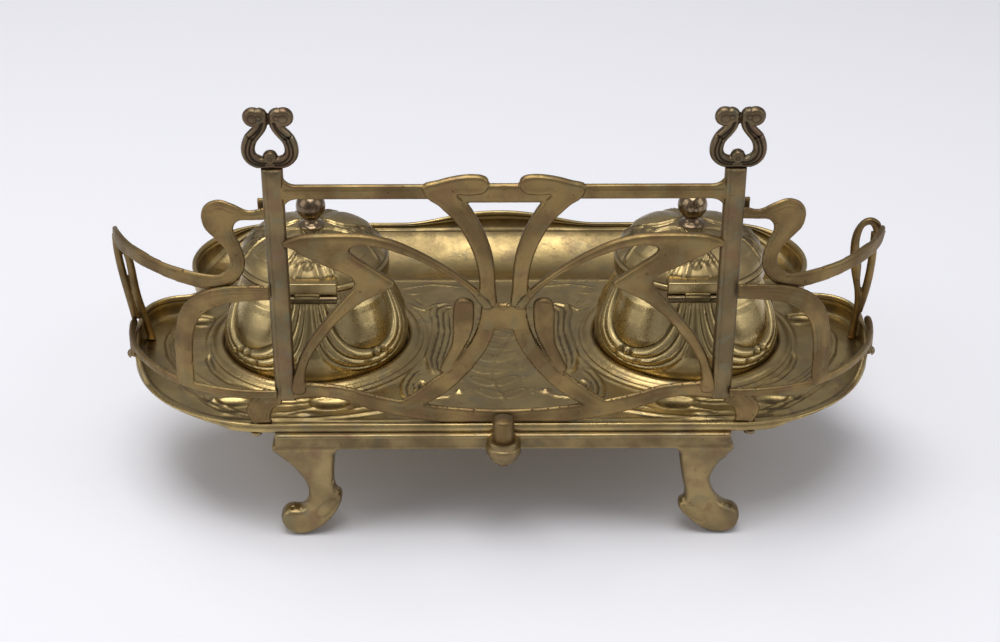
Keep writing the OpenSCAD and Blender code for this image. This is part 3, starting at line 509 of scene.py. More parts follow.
def bent(side_x, centre_x, centre_y, radius):
    """Place a casting on the upright sheet that follows the gallery edge and the corner."""
    def place(u, v, depth, trace, side):
        turn = np.maximum(u - centre_x, 0) / radius
        along = trace[:, 1]
        carve = 0.3 * bead(along, 1.3, 0.34) + 0.22 * bead(along, 2.5, 0.38)
        half = rounded(depth, 2.4, 1.7, 0.2) - (carve if side < 0 else 0.5 * carve)
        reach = radius - side * half
        x = np.where(u > centre_x, centre_x + reach * np.sin(turn), u)
        y = centre_y - reach * np.cos(turn)
        return np.stack([side_x * x, y, v], 1), ramp(carve * 1.6)
    return place


scroll = [
    (87, 145.4), (93.5, 144.4), (99, 146.9), (104.4, 148.4), (109.3, 146.2), (111.4, 141.6),
    (110.4, 136.2), (106.6, 132.2), (103, 128), (101.8, 123.3), (103.4, 119.4), (107, 117),
    (112, 116.6), (117.5, 116.8), (123, 117), (128, 117.2), (133, 117.6), (141, 117.8),
    (141, 112.1), (133, 111.8), (128, 111.4), (123, 111),
    (117, 110.6), (111.5, 110.4), (105, 111.4), (100.4, 114.2), (96.8, 119.4), (96.2, 125),
    (97.6, 130.6), (99.7, 136.4), (97.6, 140.2), (92.5, 140.6), (87, 141.2)]
arch = np.concatenate([bezier([(87.5, 111.3), (104, 111.9), (114.2, 108), (119.4, 98)]),
                       bezier([(119.4, 98), (122.9, 90), (123.2, 80), (123, 65)])[1:]])
band_run = [(x, 68.5) for x in np.linspace(87, 140, 12)] + [(x, 65.1) for x in np.linspace(140, 87, 12)]
band_end = [(-50, 68.4), (-40, 68.3), (-22, 67.3), (-9, 66.5), (-4.6, 64.3), (-5, 61.9), (-9, 61.5),
            (-13, 61.5), (-14, 57.5), (-18, 54.8), (-23, 57.4), (-25, 62.9), (-40, 64.9), (-50, 65.1)]
lash = {-1: [(-48, 117.7), (-38, 117.6), (-28, 116.9), (-21.5, 115.4), (-17, 113.6), (-14.6, 112.4),
             (-17, 110.6), (-22, 108.6), (-28, 109.4), (-38, 111.6), (-48, 112)],
        1: [(-48, 117.7), (-38, 117.4), (-28, 117), (-22.6, 116), (-20.6, 113.6), (-22.4, 111),
            (-28, 110.8), (-38, 111.6), (-48, 112)]}
tines = {-1: [strap([(152.6, 111), (154.4, 97), (151.8, 80), (150.8, 64.6)], [1.5, 1.6, 1.9]),
              strap([(152.4, 106.5), (146.6, 100), (151, 86), (147.6, 68)], [1.3, 1.6, 1.7]),
              strap([(147.8, 69), (147, 64), (146.2, 58), (146, 52.4)], [1.7, 1.6, 1.8])],
         1: [(smooth_outline([
             (152, 110.6), (150.6, 112.6), (149, 115.9), (146.8, 117.7), (144.4, 118), (142.3, 116.9),
             (140.7, 114.6), (139.6, 111.6), (139.1, 107.4), (139.3, 102), (140.2, 95), (141.6, 88.9),
             (142.8, 84.4), (144.2, 79), (145.2, 72), (145.4, 64), (145.2, 57), (145.2, 52.4),
             (148.2, 52.4), (148.3, 58), (148.5, 66), (148.5, 72), (147.8, 76.8), (146.6, 80.4),
             (145.7, 84.6), (145.3, 89), (144.9, 93.4), (143.6, 99), (142.5, 105), (142.5, 110),
             (143.2, 113.4), (144.5, 114.7), (145.8, 114.1), (146.9, 112), (148, 109.4)]), 0),
             strap([(147.8, 111), (148.8, 97), (150, 86), (147.4, 67)], [1.5, 1.6, 1.7])]}


def leaning(side_x):
    def place(u, v, depth, trace, side):
        carve = 0.15 * bead(depth, 1.3, 0.3)
        half = rounded(depth, 3.2, 1.6, 0.15) - carve
        y = -20.6 + (119 - v) * 19.6 / 66.7
        return np.stack([side_x * u, y + side * half, v], 1), ramp(carve * 2)
    return place


RIM_X, RIM_Y, RIM_R = 92, -8, 59.4
for name, s, flare in (("left", -1, 1.5), ("right", 1, -1)):
    cx, cy, r = 94, -6 + flare, 60 + flare - 1.2
    handle = union_of([(past_corner(smooth_outline(scroll), cx, r), 0),
                       (past_corner(smooth_outline(lash[s]), cx, r, cy), 0)])
    handle = casting("bracket_" + name + "_casting", handle, bent(s, cx, cy, r), 0.45)
    outline, *spine = ribbon(past_corner(arch, RIM_X, RIM_R), [3, 3.9, 4, 4.1])
    rim = union_of([(outline, 0, *spine), (past_corner(band_run, RIM_X, RIM_R), 1),
                    (past_corner(smooth_outline(band_end), RIM_X, RIM_R, RIM_Y), 1)])
    rim = casting("bracket_rim_" + name, rim, bent(s, RIM_X, RIM_Y, RIM_R), 0.45)
    ends = casting("bracket_tines_" + name, union_of(tines[s]), leaning(s), 0.34)
    lug = casting("bracket_lug_" + name, union_of([(oblong(81.2, 90.6, 141.1, 147.3), 0)]),
                  lambda u, v, depth, trace, side, s=s: (
                      np.stack([s * u, -60.6 + side * rounded(depth, 1.8, 0.8, 0.4), v], 1), 0 * depth), 0.6)
    fit(joined(handle, rim, ends, lug), "cast_bronze", cast_bronze, "bracket_" + name)


# Foot bars. Two brass castings, a straight bar with a scroll foot at each end, screwed up
# against the tray; the rear one has an eye for the gallery's peg.
foot_brass = aged_brass("foot_casting", (0.34, 0.25, 0.115), (0.22, 0.16, 0.08),
                        (0.05, 0.035, 0.02), 0.4,
                        ((0.2, 0.18, 0.11), (0.2, 0.115, 0.07)), 0.4, 0.5)
foot_left = smooth_outline([
    (88.8, 44), (88.4, 38), (84.4, 34.2), (81, 29.8), (78.4, 25.3), (77.3, 20.9), (77.8, 15.7),
    (80.4, 12.3), (84.3, 12.3), (87.2, 11.2), (88.7, 8.4), (88.5, 5.2), (86.7, 2.2), (83.4, 0.2),
    (79.3, 0.1), (75.6, 1.5), (71.8, 4.1), (68.6, 7.4), (66.2, 11.1), (64.6, 14.9), (64.1, 18.4),
    (66.2, 20.6), (67, 24.5), (66.8, 30.4), (66.2, 38), (66.2, 44)])
foot_right = smooth_outline([
    (88.8, 44), (88.6, 37.4), (85.5, 34), (83.1, 29.6), (82, 24.9), (83.3, 20), (86, 15.5),
    (89.2, 13), (92.6, 11.8), (94.4, 9.7), (94.8, 6.5), (93.9, 3.4), (92, 1.2), (88.8, 0.1),
    (85.3, 0.1), (81.2, 1.4), (76.7, 4.3), (73.5, 7.6), (71.4, 9.8), (70.2, 12), (70.3, 14.2),
    (72, 15.6), (72.5, 18), (72, 21.6), (70.9, 26.8), (70.1, 31.9), (69.3, 38), (69.3, 44)])


def foot_at(y):
    def place(u, v, depth, trace, side):
        lip = ramp((47.2 - v) / 0.5) * ramp((v - 42.2) / 0.5)
        leg = ramp((41 - v) / 3)
        carve = 0.45 * lip * (1 - leg) + 0.15 * leg * bead(depth, 2.6, 0.5)
        for x, z, toe in ((-70.2, 13.6, -1), (76.4, 11, 1)):
            a, b = (u - x) * toe, v - z
            q = np.hypot((0.74 * b - 0.67 * a) / 5.6, (0.74 * a + 0.67 * b) / 2.5)
            carve += 0.4 * bead(q, 1, 0.16) - 0.35 * ramp(1 - q)
        half = (1 - leg) * rounded(depth, 9.9, 0.9, 0.8) + leg * rounded(depth, 9, 3.2, 0.3) - carve
        return np.stack([u, y + side * half, v], 1), ramp(carve * 1.1)
    return place


feet = union_of([(oblong(-89, 89, 41.5, 48.5), 0), (foot_right, 1), mirrored((foot_left, 1))], 0)
rear_bar = casting("rear_bar_casting", feet, foot_at(-64), 0.55)
eye = turned("rear_bar_eye", (0, STUB_Y), [
    (4.25, 48.4), (5.6, 48.4), (5.9, 48), (5.9, 46), (6.4, 45.7), (6.8, 45), (6.8, 42.7), (6.1, 41.7),
    (2.45, 41.5), (2.45, 46.4), (4.25, 46.4), (4.25, 48.4)])
front_bar = casting("front_bar_casting", feet, foot_at(65), 0.55)
bosses = [turned("rear_bar_boss", (x, -62), [(TIP, 48.3), (3, 48.3), (3, 51.1), (TIP, 51.1)], 32)
          for x in (-46, 46)]
fit(joined(rear_bar, eye, *bosses), "foot_brass", foot_brass, "rear_foot_bar")
nut = turned("gallery_ring_nut", (0, STUB_Y), [
    (2.45, 41.45), (5.3, 41.45), (5.5, 41.2), (5.5, 40.2), (5.1, 39.8), (2.45, 39.8), (2.45, 41.45)])
fit(nut, "foot_brass", foot_brass, "gallery_nut")
fit(front_bar, "foot_brass", foot_brass, "front_foot_bar")


# Tray. One pressing in thin brass sheet: a flat floor with embossed whiplash lines, reeds and
# leaf dents, a rounded pen bed at the far side, and upright walls with a rolled rim.
WELL_X = 77
WELLS = (("left", -WELL_X), ("right", WELL_X))
HALF_W, NEAR, FAR, WALL_TOP, UNDER = 151, 67, 88, 61.5, 51.1
BED_Y, BED_Z, BED_R, BED_EDGE = 62.5, 79.7, 30, 50.3


def tray_plan(inset):
    """Outline of the tray drawn in by inset, as points about 1.2 mm apart."""
    back, lobe, dip = np.array((134, 4.3)), np.array((100.6, 53.5)), 8
    back_r, lobe_r = 17, 34.5
    gap = np.linalg.norm(lobe - back)
    ahead = (lobe - back) / gap
    run = ((back_r + dip) ** 2 - (lobe_r + dip) ** 2 + gap ** 2) / (2 * gap)
    aside = math.sqrt((back_r + dip) ** 2 - run ** 2)
    waist = back + run * ahead + aside * np.array((ahead[1], -ahead[0]))

    def arc(centre, radius, start, end):
        n = max(int(abs(end - start) * radius / 1.2), 2)
        a = np.linspace(start, end, n)
        return [centre + radius * np.array((math.cos(t), math.sin(t))) for t in a]

    def heading(a, b):
        return math.atan2(*(b - a)[::-1])

    half = [np.array((x, -NEAR + inset)) for x in np.arange(0, 92, 1.2)]
    half += arc(np.array((92, -8)), 59 - inset, -math.pi / 2, 0)
    half += arc(back, back_r - inset, 0, heading(back, waist))
    half += arc(waist, dip + inset, heading(waist, back), heading(waist, lobe) - 2 * math.pi)
    half += arc(lobe, lobe_r - inset, heading(lobe, waist), math.pi / 2)
    half += [np.array((x, FAR - inset)) for x in np.arange(99.6, 0, -1.2)]
    half = np.array(half)
    other = (half * (-1, 1))[::-1]
    loop = np.concatenate([half, other])
    keep = np.linalg.norm(loop - np.roll(loop, 1, 0), axis=1) > 0.05
    return loop[keep]


def bed_height(y):
    return BED_Z - np.sqrt(np.maximum(BED_R ** 2 - (y - BED_Y) ** 2, 0))


def base_height(y):
    return np.where(y > BED_EDGE, np.minimum(bed_height(y), 58.6), TRAY_FLOOR)


reeds = [
    ([(20.3, 28.1), (24.3, 27.8), (28.2, 26), (29.2, 20), (27.8, 13.7), (27.6, 5.8), (29.5, -6.3),
      (30.6, -17.1), (29.1, -26), (26.5, -31)], 1.1, 1.1),
    ([(19.5, 25.6), (23.5, 25.4), (26, 22.5), (25.9, 13.7), (25.1, 4.7), (26.2, -6.4), (28, -18.2),
      (27.4, -26), (24.5, -31)], 0.9, 0.95),
    ([(18.6, 23.2), (21.6, 22.8), (23.4, 20), (23.2, 13.7), (22.6, 4.6), (23.6, -6.4), (25.6, -18.2),
      (25.2, -25), (22.4, -30)], 0.8, 0.8),
    ([(20.8, 18), (20.7, 12), (20.3, 4), (21.2, -6), (23, -17), (22.6, -24), (20, -29)], 0.7, 0.6),
    ([(33.8, -24.2), (36.6, -28.4), (39, -34), (40.2, -40), (39.4, -46), (36, -50.5)], 1.0, 1.0),
    ([(31.8, -26), (34.6, -30), (36.8, -35.6), (37.6, -41), (36.4, -46), (33.4, -49.2)], 0.7, 0.7),
    ([(29.8, -35.6), (32.6, -34.2), (34.4, -37.6), (34.4, -42), (31.4, -45), (28.6, -44)], 0.8, 0.8),
    ([(31, -46.2), (26, -47.6), (21.4, -46.6), (18, -43.6)], 0.9, 0.9),
    ([(41, 30), (37, 25.4), (33, 22.6), (29.4, 26), (26.4, 30.2)], 0.7, 0.8),
    ([(37.6, 33.6), (34.4, 29.4), (31.6, 25.6)], 0.7, -0.7),
    ([(33.8, 38.6), (37.6, 37), (41, 38.4)], 0.7, 0.7),
    ([(16, 43), (30, 45.5), (44, 41.6)], 0.7, 0.55),
    ([(36, -51), (48, -57.5), (62, -61.5), (78, -63.4), (96, -62.6), (112, -57.6)], 1.3, 1.0),
    ([(40, -48.6), (50, -53), (61, -56.4)], 0.8, 0.7),
    ([(76, -48.3), (83, -49.6), (92, -49.6), (101, -46.6)], 0.7, 0.8),
    ([(74, -51.2), (84, -52.6), (94, -52.2), (104, -48.6)], 0.7, 0.6),
    ([(72, -54.2), (79, -56.6), (85, -58.6), (92, -58.2)], 0.8, 0.8),
    ([(139, 6), (139.4, -4), (137, -15), (132, -25), (125, -34.4), (117, -42)], 0.9, 0.9),
    ([(135.6, 4), (136, -4), (133.6, -14), (128.6, -23.6), (121.6, -32.6), (113.6, -40)], 0.8, 0.7),
    ([(119.4, -12), (120.4, -18), (117.6, -26), (112.4, -33), (106.4, -38)], 1.0, -1.1),
    ([(117, -46), (110.6, -53.2), (103, -58.8), (94, -62.4)], 1.2, 1.2),
    ([(122, -44.6), (115.6, -52), (107.6, -58.4), (99, -62.6)], 0.8, -0.7),
    ([(133, 17.4), (128, 18.8), (123, 17.4), (121.2, 13)], 0.9, -0.9),
    ([(131, 11.4), (126.6, 9.6), (122, 10.8)], 0.8, 0.8),
    ([(140.6, 16), (138, 21), (132.6, 25.2), (126, 28.6), (119, 33.8)], 1.0, 0.9),
    ([(112, 38), (105, 42.6), (96, 45.4), (84, 46.4), (70, 46)], 0.8, 0.7),
    ([(140, -20), (134.6, -31), (127, -41), (118, -50), (108, -57.6), (98, -62)], 0.7, 0.6)]
dents = [(68.6, -52, 7.6, 3.9, 1.2), (107.6, -50.4, 7.5, 3.1, 1.0), (33, -38.4, 2.2, 3.6, 0.7),
         (17.2, -42.8, 1.7, 1.7, -1.3), (86, 41.6, 9, 2.6, 0.8), (127, 14.2, 5.2, 2.6, 0.8),
         (78, -59.6, 5, 1.7, -0.9), (54, 42.5, 7, 2, 0.6)]


def leaf_spray(x, y):
    """Shallow pressed ornament of the middle panel: a waved stem with leaves and berries."""
    height = 0.5 * bead(x - 4.5 * np.sin((y + 10) / 12), 0, 0.45)
    for i in range(8):
        y0 = -47 + i * 9.4
        x0 = 4.5 * math.sin((y0 + 10) / 12)
        for s in (-1, 1):
            along = (x - x0) * s * 0.86 + (y - y0) * 0.51
            across = -(x - x0) * s * 0.51 + (y - y0) * 0.86
            t = ramp(along / 11.5)
            wide = 2.3 * np.sqrt(np.maximum(np.sin(math.pi * t ** 0.75), 0)) + 0.01
            on = (along > 0) & (along < 11.5)
            height += on * (0.25 * ramp(1 - (across / wide) ** 2)
                            + 0.4 * bead(np.abs(across), wide, 0.3) - 0.25 * bead(across, 0, 0.25))
            for dx, dy in ((12.6, 1.2), (14, 2.6), (12.4, 3.4)):
                height += 0.4 * bead(np.hypot(x - x0 - s * dx, y - y0 - 2 - dy), 0, 0.65)
    return height


def floor_relief(x, y):
    across = np.abs(x)
    points = np.stack([across, y], 1)
    height = np.zeros(len(x))
    dark_creases_and_shade = np.zeros(len(x))
    for line, width, rise in reeds:
        line = np.array(line, float)
        near = ((points > line.min(0) - 5) & (points < line.max(0) + 5)).all(1)
        d = line_distance(points[near], line)
        ends = np.minimum(np.linalg.norm(points[near] - line[0], axis=1),
                          np.linalg.norm(points[near] - line[-1], axis=1))
        fade = np.clip(ends / 4, 0.15, 1)
        height[near] += 0.85 * rise * fade * bead(d, 0, 0.68 * width)
        dark_creases_and_shade[near] += 0.75 * fade * bead(d, 1.35 * width, 0.5 * width)
    for cx, cy, rx, ry, fall in dents:
        q = np.hypot((across - cx) / rx, (y - cy) / ry)
        height -= fall * ramp(1 - q * q) - 0.35 * abs(fall) * bead(q, 1.12, 0.12)
        dark_creases_and_shade += 0.7 * ramp(fall) * ramp(1 - q * q)
    well = np.hypot(across - WELL_X, y)
    height += 0.8 * bead(well, 45.2, 1.0) * ramp((y + 60) / 20) * ramp((30 - y) / 15)
    height += 0.45 * bead(well, 48.2, 0.8) * ramp((110 - across) / 25) * ramp((10 - y) / 25)
    dark_creases_and_shade += 0.55 * bead(well, 43.2, 0.8)
    panel = ramp((18.5 - across) / 2) * ramp((y + 51) / 3) * ramp((30 - y) / 3)
    height += panel * leaf_spray(x, y)
    height += 0.6 * bead(y, 49.2, 0.7) + 0.5 * bead(y, -64.2, 0.9)
    dark_creases_and_shade += 0.4 * bead(y, 47.6, 0.8) + 0.4 * bead(y, -62.3, 0.8)
    wave = 0.12 * np.sin(x / 9) * np.sin(y / 7)
    # Darker in the creases beside the reeds, inside the pressed-in dents, round the well rings and along
    # lines by the pen bed and the near edge, as tarnish and painted shade; low parts darker, raised parts
    # lighter.
    return height + wave, ramp(dark_creases_and_shade + 0.25 * ramp(-height) - 0.35 * ramp(height))


tray_brass = aged_brass("pressed_brass", (0.44, 0.325, 0.14), (0.285, 0.21, 0.094),
                        (0.075, 0.052, 0.024), 0.34,
                        ((0.26, 0.215, 0.13), (0.25, 0.165, 0.09)), 0.35, 0.5)
plan = tray_plan(0.8)


def floor_field(points):
    return np.minimum(depth_inside(points, plan), BED_EDGE + 0.6 - points[:, 1]), np.zeros((len(points), 2))


def bed_field(points):
    return np.minimum(depth_inside(points, plan), points[:, 1] - BED_EDGE + 0.2), np.zeros((len(points), 2))


def pressed_floor(u, v, depth, trace, side):
    if side > 0:
        return np.stack([u, v, np.full(len(u), UNDER)], 1), 0 * u
    height, dark_creases_and_shade = floor_relief(u, v)
    return np.stack([u, v, TRAY_FLOOR + height * ramp(depth / 2.5)], 1), dark_creases_and_shade


def pen_bed(u, v, depth, trace, side):
    z = base_height(v)
    if side > 0:
        return np.stack([u, v, np.maximum(z - 1.2, 48.55)], 1), 0 * u
    # Painted shade: darker towards the far wall, along the wall's foot and near the bed's edges.
    dark_creases_and_shade = 0.3 * bead(v, 83.6, 1.2) + 0.35 * ramp(1 - depth / 5) + 0.45 * ramp((v - 62) / 14)
    return np.stack([u, v, z], 1), dark_creases_and_shade


fit(casting("tray_floor", (floor_field, plan.min(0), (HALF_W, BED_EDGE + 1)), pressed_floor, 0.62, True),
    "tray_brass", tray_brass, "tray")
fit(casting("tray_pen_bed", (bed_field, (-136, BED_EDGE - 1), (136, FAR)), pen_bed, 0.9),
    "tray_brass", tray_brass)


def wall_top(x, y):
    low_side = np.interp(y, [-46, -38, -18, -10], [52.5, 53.3, 60.7, WALL_TOP])
    crest = ramp(np.cos(np.clip(x / 44, -1, 1) * math.pi / 2) ** 2)
    return low_side + np.where(y > 80, 6.2 * crest * (4 - crest) / 3, 0)


def wall_foot(y):
    return np.interp(y, [-65.4, -63.6, -59, -55], [48.5, 50.2, 50.9, UNDER])


def net(rows, sides, closed=True):
    """Faces between closed rings of points; closed joins the last ring to the first."""
    return [(i * sides + j, i * sides + (j + 1) % sides, (i + 1) % rows * sides + (j + 1) % sides,
             (i + 1) % rows * sides + j) for i in range(rows if closed else rows - 1) for j in range(sides)]


def tray_walls():
    loop = tray_plan(0)
    ahead = np.roll(loop, -1, 0) - np.roll(loop, 1, 0)
    ahead /= np.linalg.norm(ahead, axis=1, keepdims=True)
    inward = np.stack([-ahead[:, 1], ahead[:, 0]], 1)
    x, y = loop.T
    top, foot = wall_top(x, y), wall_foot(y)
    ground = base_height(np.clip((loop + 1.6 * inward)[:, 1], -90, 86.4))
    tall = np.clip((top - foot) / 9, 0.3, 1)
    high = np.clip((top - ground) / 9, 0.04, 1)
    section = [(0.5, foot), (0.12, foot + 0.3), (0, foot + 0.9), (0.05, top - 3.4 * tall),
               (0.3, top - 2.9 * tall), (0.0, top - 2.3 * tall), (-0.2, top - 1.6 * tall),
               (-0.1, top - 0.8 * tall), (0.3, top - 0.25 * tall), (0.9, top), (1.5, top - 0.3 * high),
               (1.9, top - 1.0 * high), (1.9, top - 1.7 * high), (1.5, top - 2.3 * high),
               (1.75, top - 2.9 * high), (1.95, top - 3.5 * high), (1.6, top - 4.2 * high),
               (1.6, ground + 1.8 * high), (2.1, ground + 0.6 * high), (3.2, ground + 0.12),
               (3.2, ground - 0.5), (1.4, ground - 0.6)]
    # Darkness per ring of the section: painted shade on the outer foot and on the lower inner wall and its
    # fillet with the floor; the rolled rim's grooves darker as tarnish and shade.
    ring_tarnish_and_shade = [0.4, 0.3, 0.1, 0.1, 0.7, 0.1, 0, 0, 0, 0, 0,
             0, 0.3, 0.9, 0.3, 0, 0.6, 0.5, 0.6, 0.5, 0.2, 0.2]
    rows = [np.column_stack([loop + inset * inward, np.broadcast_to(z, x.shape)]) for inset, z in section]
    return new_mesh("tray_walls", np.concatenate(rows), net(len(rows), len(loop)),
                    np.repeat(ring_tarnish_and_shade, len(loop)))


fit(tray_walls(), "tray_brass", tray_brass)
for name, x in WELLS:
    ring = turned("well_ring_" + name, (x, 0), [
        (44.4, 52.0), (44.2, 52.7), (43.6, 52.95), (43.1, 53.1), (42.6, 53.6), (42, 54.1), (41.2, 54.5),
        (40.3, 54.7), (39.4, 54.55), (38.8, 54.15), (38.4, 53.6), (38.25, 53), (38.2, 52.0),
        (44.4, 52.0)], 160)
    fit(ring, "tray_brass", tray_brass)


# Wells. Pressed and soldered brass bells: four smooth bulbs, each framed by two curved rolls
# and a fine outer line, with recessed gaps between painted dark as shade, standing inside the rings on the
# tray.
well_brass = aged_brass("polished_brass", (0.56, 0.43, 0.2), (0.37, 0.285, 0.135),
                        (0.075, 0.055, 0.022), 0.26,
                        ((0.36, 0.285, 0.13), (0.34, 0.255, 0.115)), 0.15, 0.2, uneven=0.12)
SKIRT, NECK = 38, 28
BODY_FOOT = [(TIP, 52.3), (30, 52.3), (37.5, 52.35), (37.9, 52.6), (38, 53)]
bell_heights = np.linspace(0.9, 33.2, 84)
bell_radii = SKIRT + (NECK - SKIRT) * np.interp(
    bell_heights, [5, 8, 11.5, 15.5, 20.5, 25.5, 29.5, 32.5], [0, 0.04, 0.12, 0.28, 0.52, 0.78, 0.95, 1])
BODY_NECK = [(27.9, 86.25), (26.6, 86.25), (26.4, 84), (26.5, 81), (32, 70), (35.5, 62), (36.2, 57),
             (36.2, 54.2), (TIP, 54.2)]


def bell_relief(height, off):
    """Rise of the pressed relief at a height on the bell, off degrees from a bulb's middle.
    The drawn lines are drops, one inside the other: 0 is the bulb's edge, 1 the outer line."""
    w = np.linspace(-2.2, 1.8, 81)
    up = np.maximum(height - (11 - 7 * w), 0)
    spreading = np.sqrt(1 - np.exp(-up / np.clip(12 - 5 * w, 5, 18)))
    half_angle = (35.5 + 7.5 * np.maximum(w, -1.6)) * spreading
    half_angle = np.maximum.accumulate(half_angle)
    drop = np.interp(off, half_angle, w)
    drop = np.where(off > half_angle[-1], 1.8, drop)
    spread = np.interp(drop, w, np.gradient(half_angle, w)) * 0.62
    crisp = np.clip(spread / 6.5, 0.12, 1)
    lobe = 2.3 * (1 - np.exp(-np.clip(-drop, 0, 3) * 1.5)) - 0.35 * crisp * bead(drop, 0, 0.06)
    roll = 1.5 * np.sqrt(ramp(1 - ((drop - 0.25) / 0.23) ** 2)) * (1 - 0.75 * bead(off, 3, 1.6))
    roll += 1.15 * np.sqrt(ramp(1 - ((drop - 0.68) / 0.19) ** 2)) * (1 - 0.6 * bead(off, 9, 2))
    roll += 0.75 * bead(drop, 1.0, 0.08)
    # Darker in the grooves between the rolls, as tarnish and painted shade; painted shade in the gaps
    # between the bulbs and where the rolls part below each bulb.
    hollow = 0.9 * bead(drop, 0.0, 0.07) + 0.9 * bead(drop, 0.48, 0.06) + 0.9 * bead(drop, 0.9, 0.05)
    hollow += 0.45 * ramp((drop - 1.1) / 0.2)
    hollow += 0.7 * bead(off, 3, 1.2) * (drop > 0) * (drop < 0.5)
    return lobe + roll * crisp, hollow


def well_body(name, x):
    sides = 560
    turn = np.arange(sides) / sides * 2 * math.pi
    off = np.degrees(np.abs(turn % (math.pi / 2) - math.pi / 4))
    rows, ring_tarnish_and_shade = [], []
    # Painted shade at the bell's foot on the tray and at its neck under the collar.
    for r, z in BODY_FOOT:
        rows.append((np.full(sides, r), z))
        ring_tarnish_and_shade.append(np.full(sides, 0.35))
    for height, r in zip(bell_heights, bell_radii):
        rise, hollow = bell_relief(height, off)
        fade = min(max((33.2 - height) / 5, 0), 1) * min(height / 2.5, 1)
        rows.append((r + fade * rise, TRAY_FLOOR + height))
        ring_tarnish_and_shade.append(ramp(hollow))
    for r, z in BODY_NECK:
        rows.append((np.full(sides, r), z))
        ring_tarnish_and_shade.append(np.full(sides, 0.3))
    points = np.concatenate([np.stack([x + r * np.cos(turn), r * np.sin(turn), np.full(sides, z)], 1)
                             for r, z in rows])
    n = len(rows)
    faces = net(n, sides, False)
    faces += [tuple(range(sides))[::-1], tuple((n - 1) * sides + j for j in range(sides))]
    return new_mesh(name, points, faces, np.concatenate(ring_tarnish_and_shade))


for name, x in WELLS:
    fit(well_body("well_bell_" + name, x), "well_brass", well_brass, "well_body_" + name)


# Collars, liners and fastenings keep their imported shapes: turned brass rings with two hinge
# knuckles, pressed opal glass cups, and plain turned pins, bolts, rivets and nuts.
# The hinge side of the collars and the hinge pins lie below the given y and get a painted shadow.
collar_brass = aged_brass("turned_brass", (0.42, 0.325, 0.17), (0.3, 0.23, 0.12),
                          (0.08, 0.055, 0.03), 0.34, pits=0.2, cover=0.4, shade_below_y=-0.0372)
fastener_brass = aged_brass("dull_turned_brass", (0.3, 0.22, 0.11), (0.2, 0.15, 0.08),
                            (0.05, 0.035, 0.02), 0.42, pits=0.35, cover=0.5)


def opal_glass():
    material = bpy.data.materials.new("opal_glass")
    material.use_nodes = True
    tree = material.node_tree
    shader = tree.nodes["Principled BSDF"]
    shader.inputs["Roughness"].default_value = 0.12
    shader.inputs["Coat Weight"].default_value = 0.4
    where = tree.nodes.new("ShaderNodeTexCoord")
    cloud = tree.nodes.new("ShaderNodeTexNoise")
    cloud.inputs["Scale"].default_value = 120
    cloud.inputs["Detail"].default_value = 5
    tint = tree.nodes.new("ShaderNodeValToRGB")
    tint.color_ramp.elements[0].color = (0.62, 0.64, 0.62, 1)
    tint.color_ramp.elements[1].color = (0.83, 0.84, 0.81, 1)
    height = tree.nodes.new("ShaderNodeSeparateXYZ")
    stain = tree.nodes.new("ShaderNodeMapRange")
    for socket, value in zip(stain.inputs[1:5], (0.064, 0.074, 1, 0)):
        socket.default_value = value
    ink = tree.nodes.new("ShaderNodeMix")
    ink.data_type = "RGBA"
    ink.inputs[7].default_value = (0.03, 0.035, 0.09, 1)
    links = tree.links
    links.new(where.outputs["Object"], cloud.inputs["Vector"])
    links.new(cloud.outputs["Fac"], tint.inputs["Fac"])
    links.new(where.outputs["Object"], height.inputs["Vector"])
    links.new(height.outputs["Z"], stain.inputs["Value"])
    links.new(stain.outputs["Result"], ink.inputs[0])
    links.new(tint.outputs["Color"], ink.inputs[6])
    links.new(ink.outputs[2], shader.inputs["Base Color"])
    return material


liner_glass = opal_glass()
for node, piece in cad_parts.items():
    if node.startswith(("well_collar", "hinge_pin")):
        finish = collar_brass
    elif node.startswith("ink_liner"):
        finish = liner_glass
    elif node.startswith(("boot_screws", "bracket_rivets", "bracket_screws", "bar_rivets", "knob_nut",
                          "well_bolt", "well_nut")):
        finish = fastener_brass
    else:
        continue
    piece.data.materials.clear()
    piece.data.materials.append(finish)


# Lids. Domed pressings with a rolled edge: four plain lobes that open from the knob, blossoms
# and hanging leaves between them, and a soldered hinge plate with the middle knuckle.
LID_Z, HINGE_Y, HINGE_Z = 90, -33.6, 89.2
lid_brass = aged_brass("lid_brass", (0.4, 0.3, 0.135), (0.27, 0.2, 0.095), (0.06, 0.043, 0.02), 0.34,
                       ((0.26, 0.205, 0.105), (0.25, 0.18, 0.09)), 0.2, 0.35, uneven=0.2)


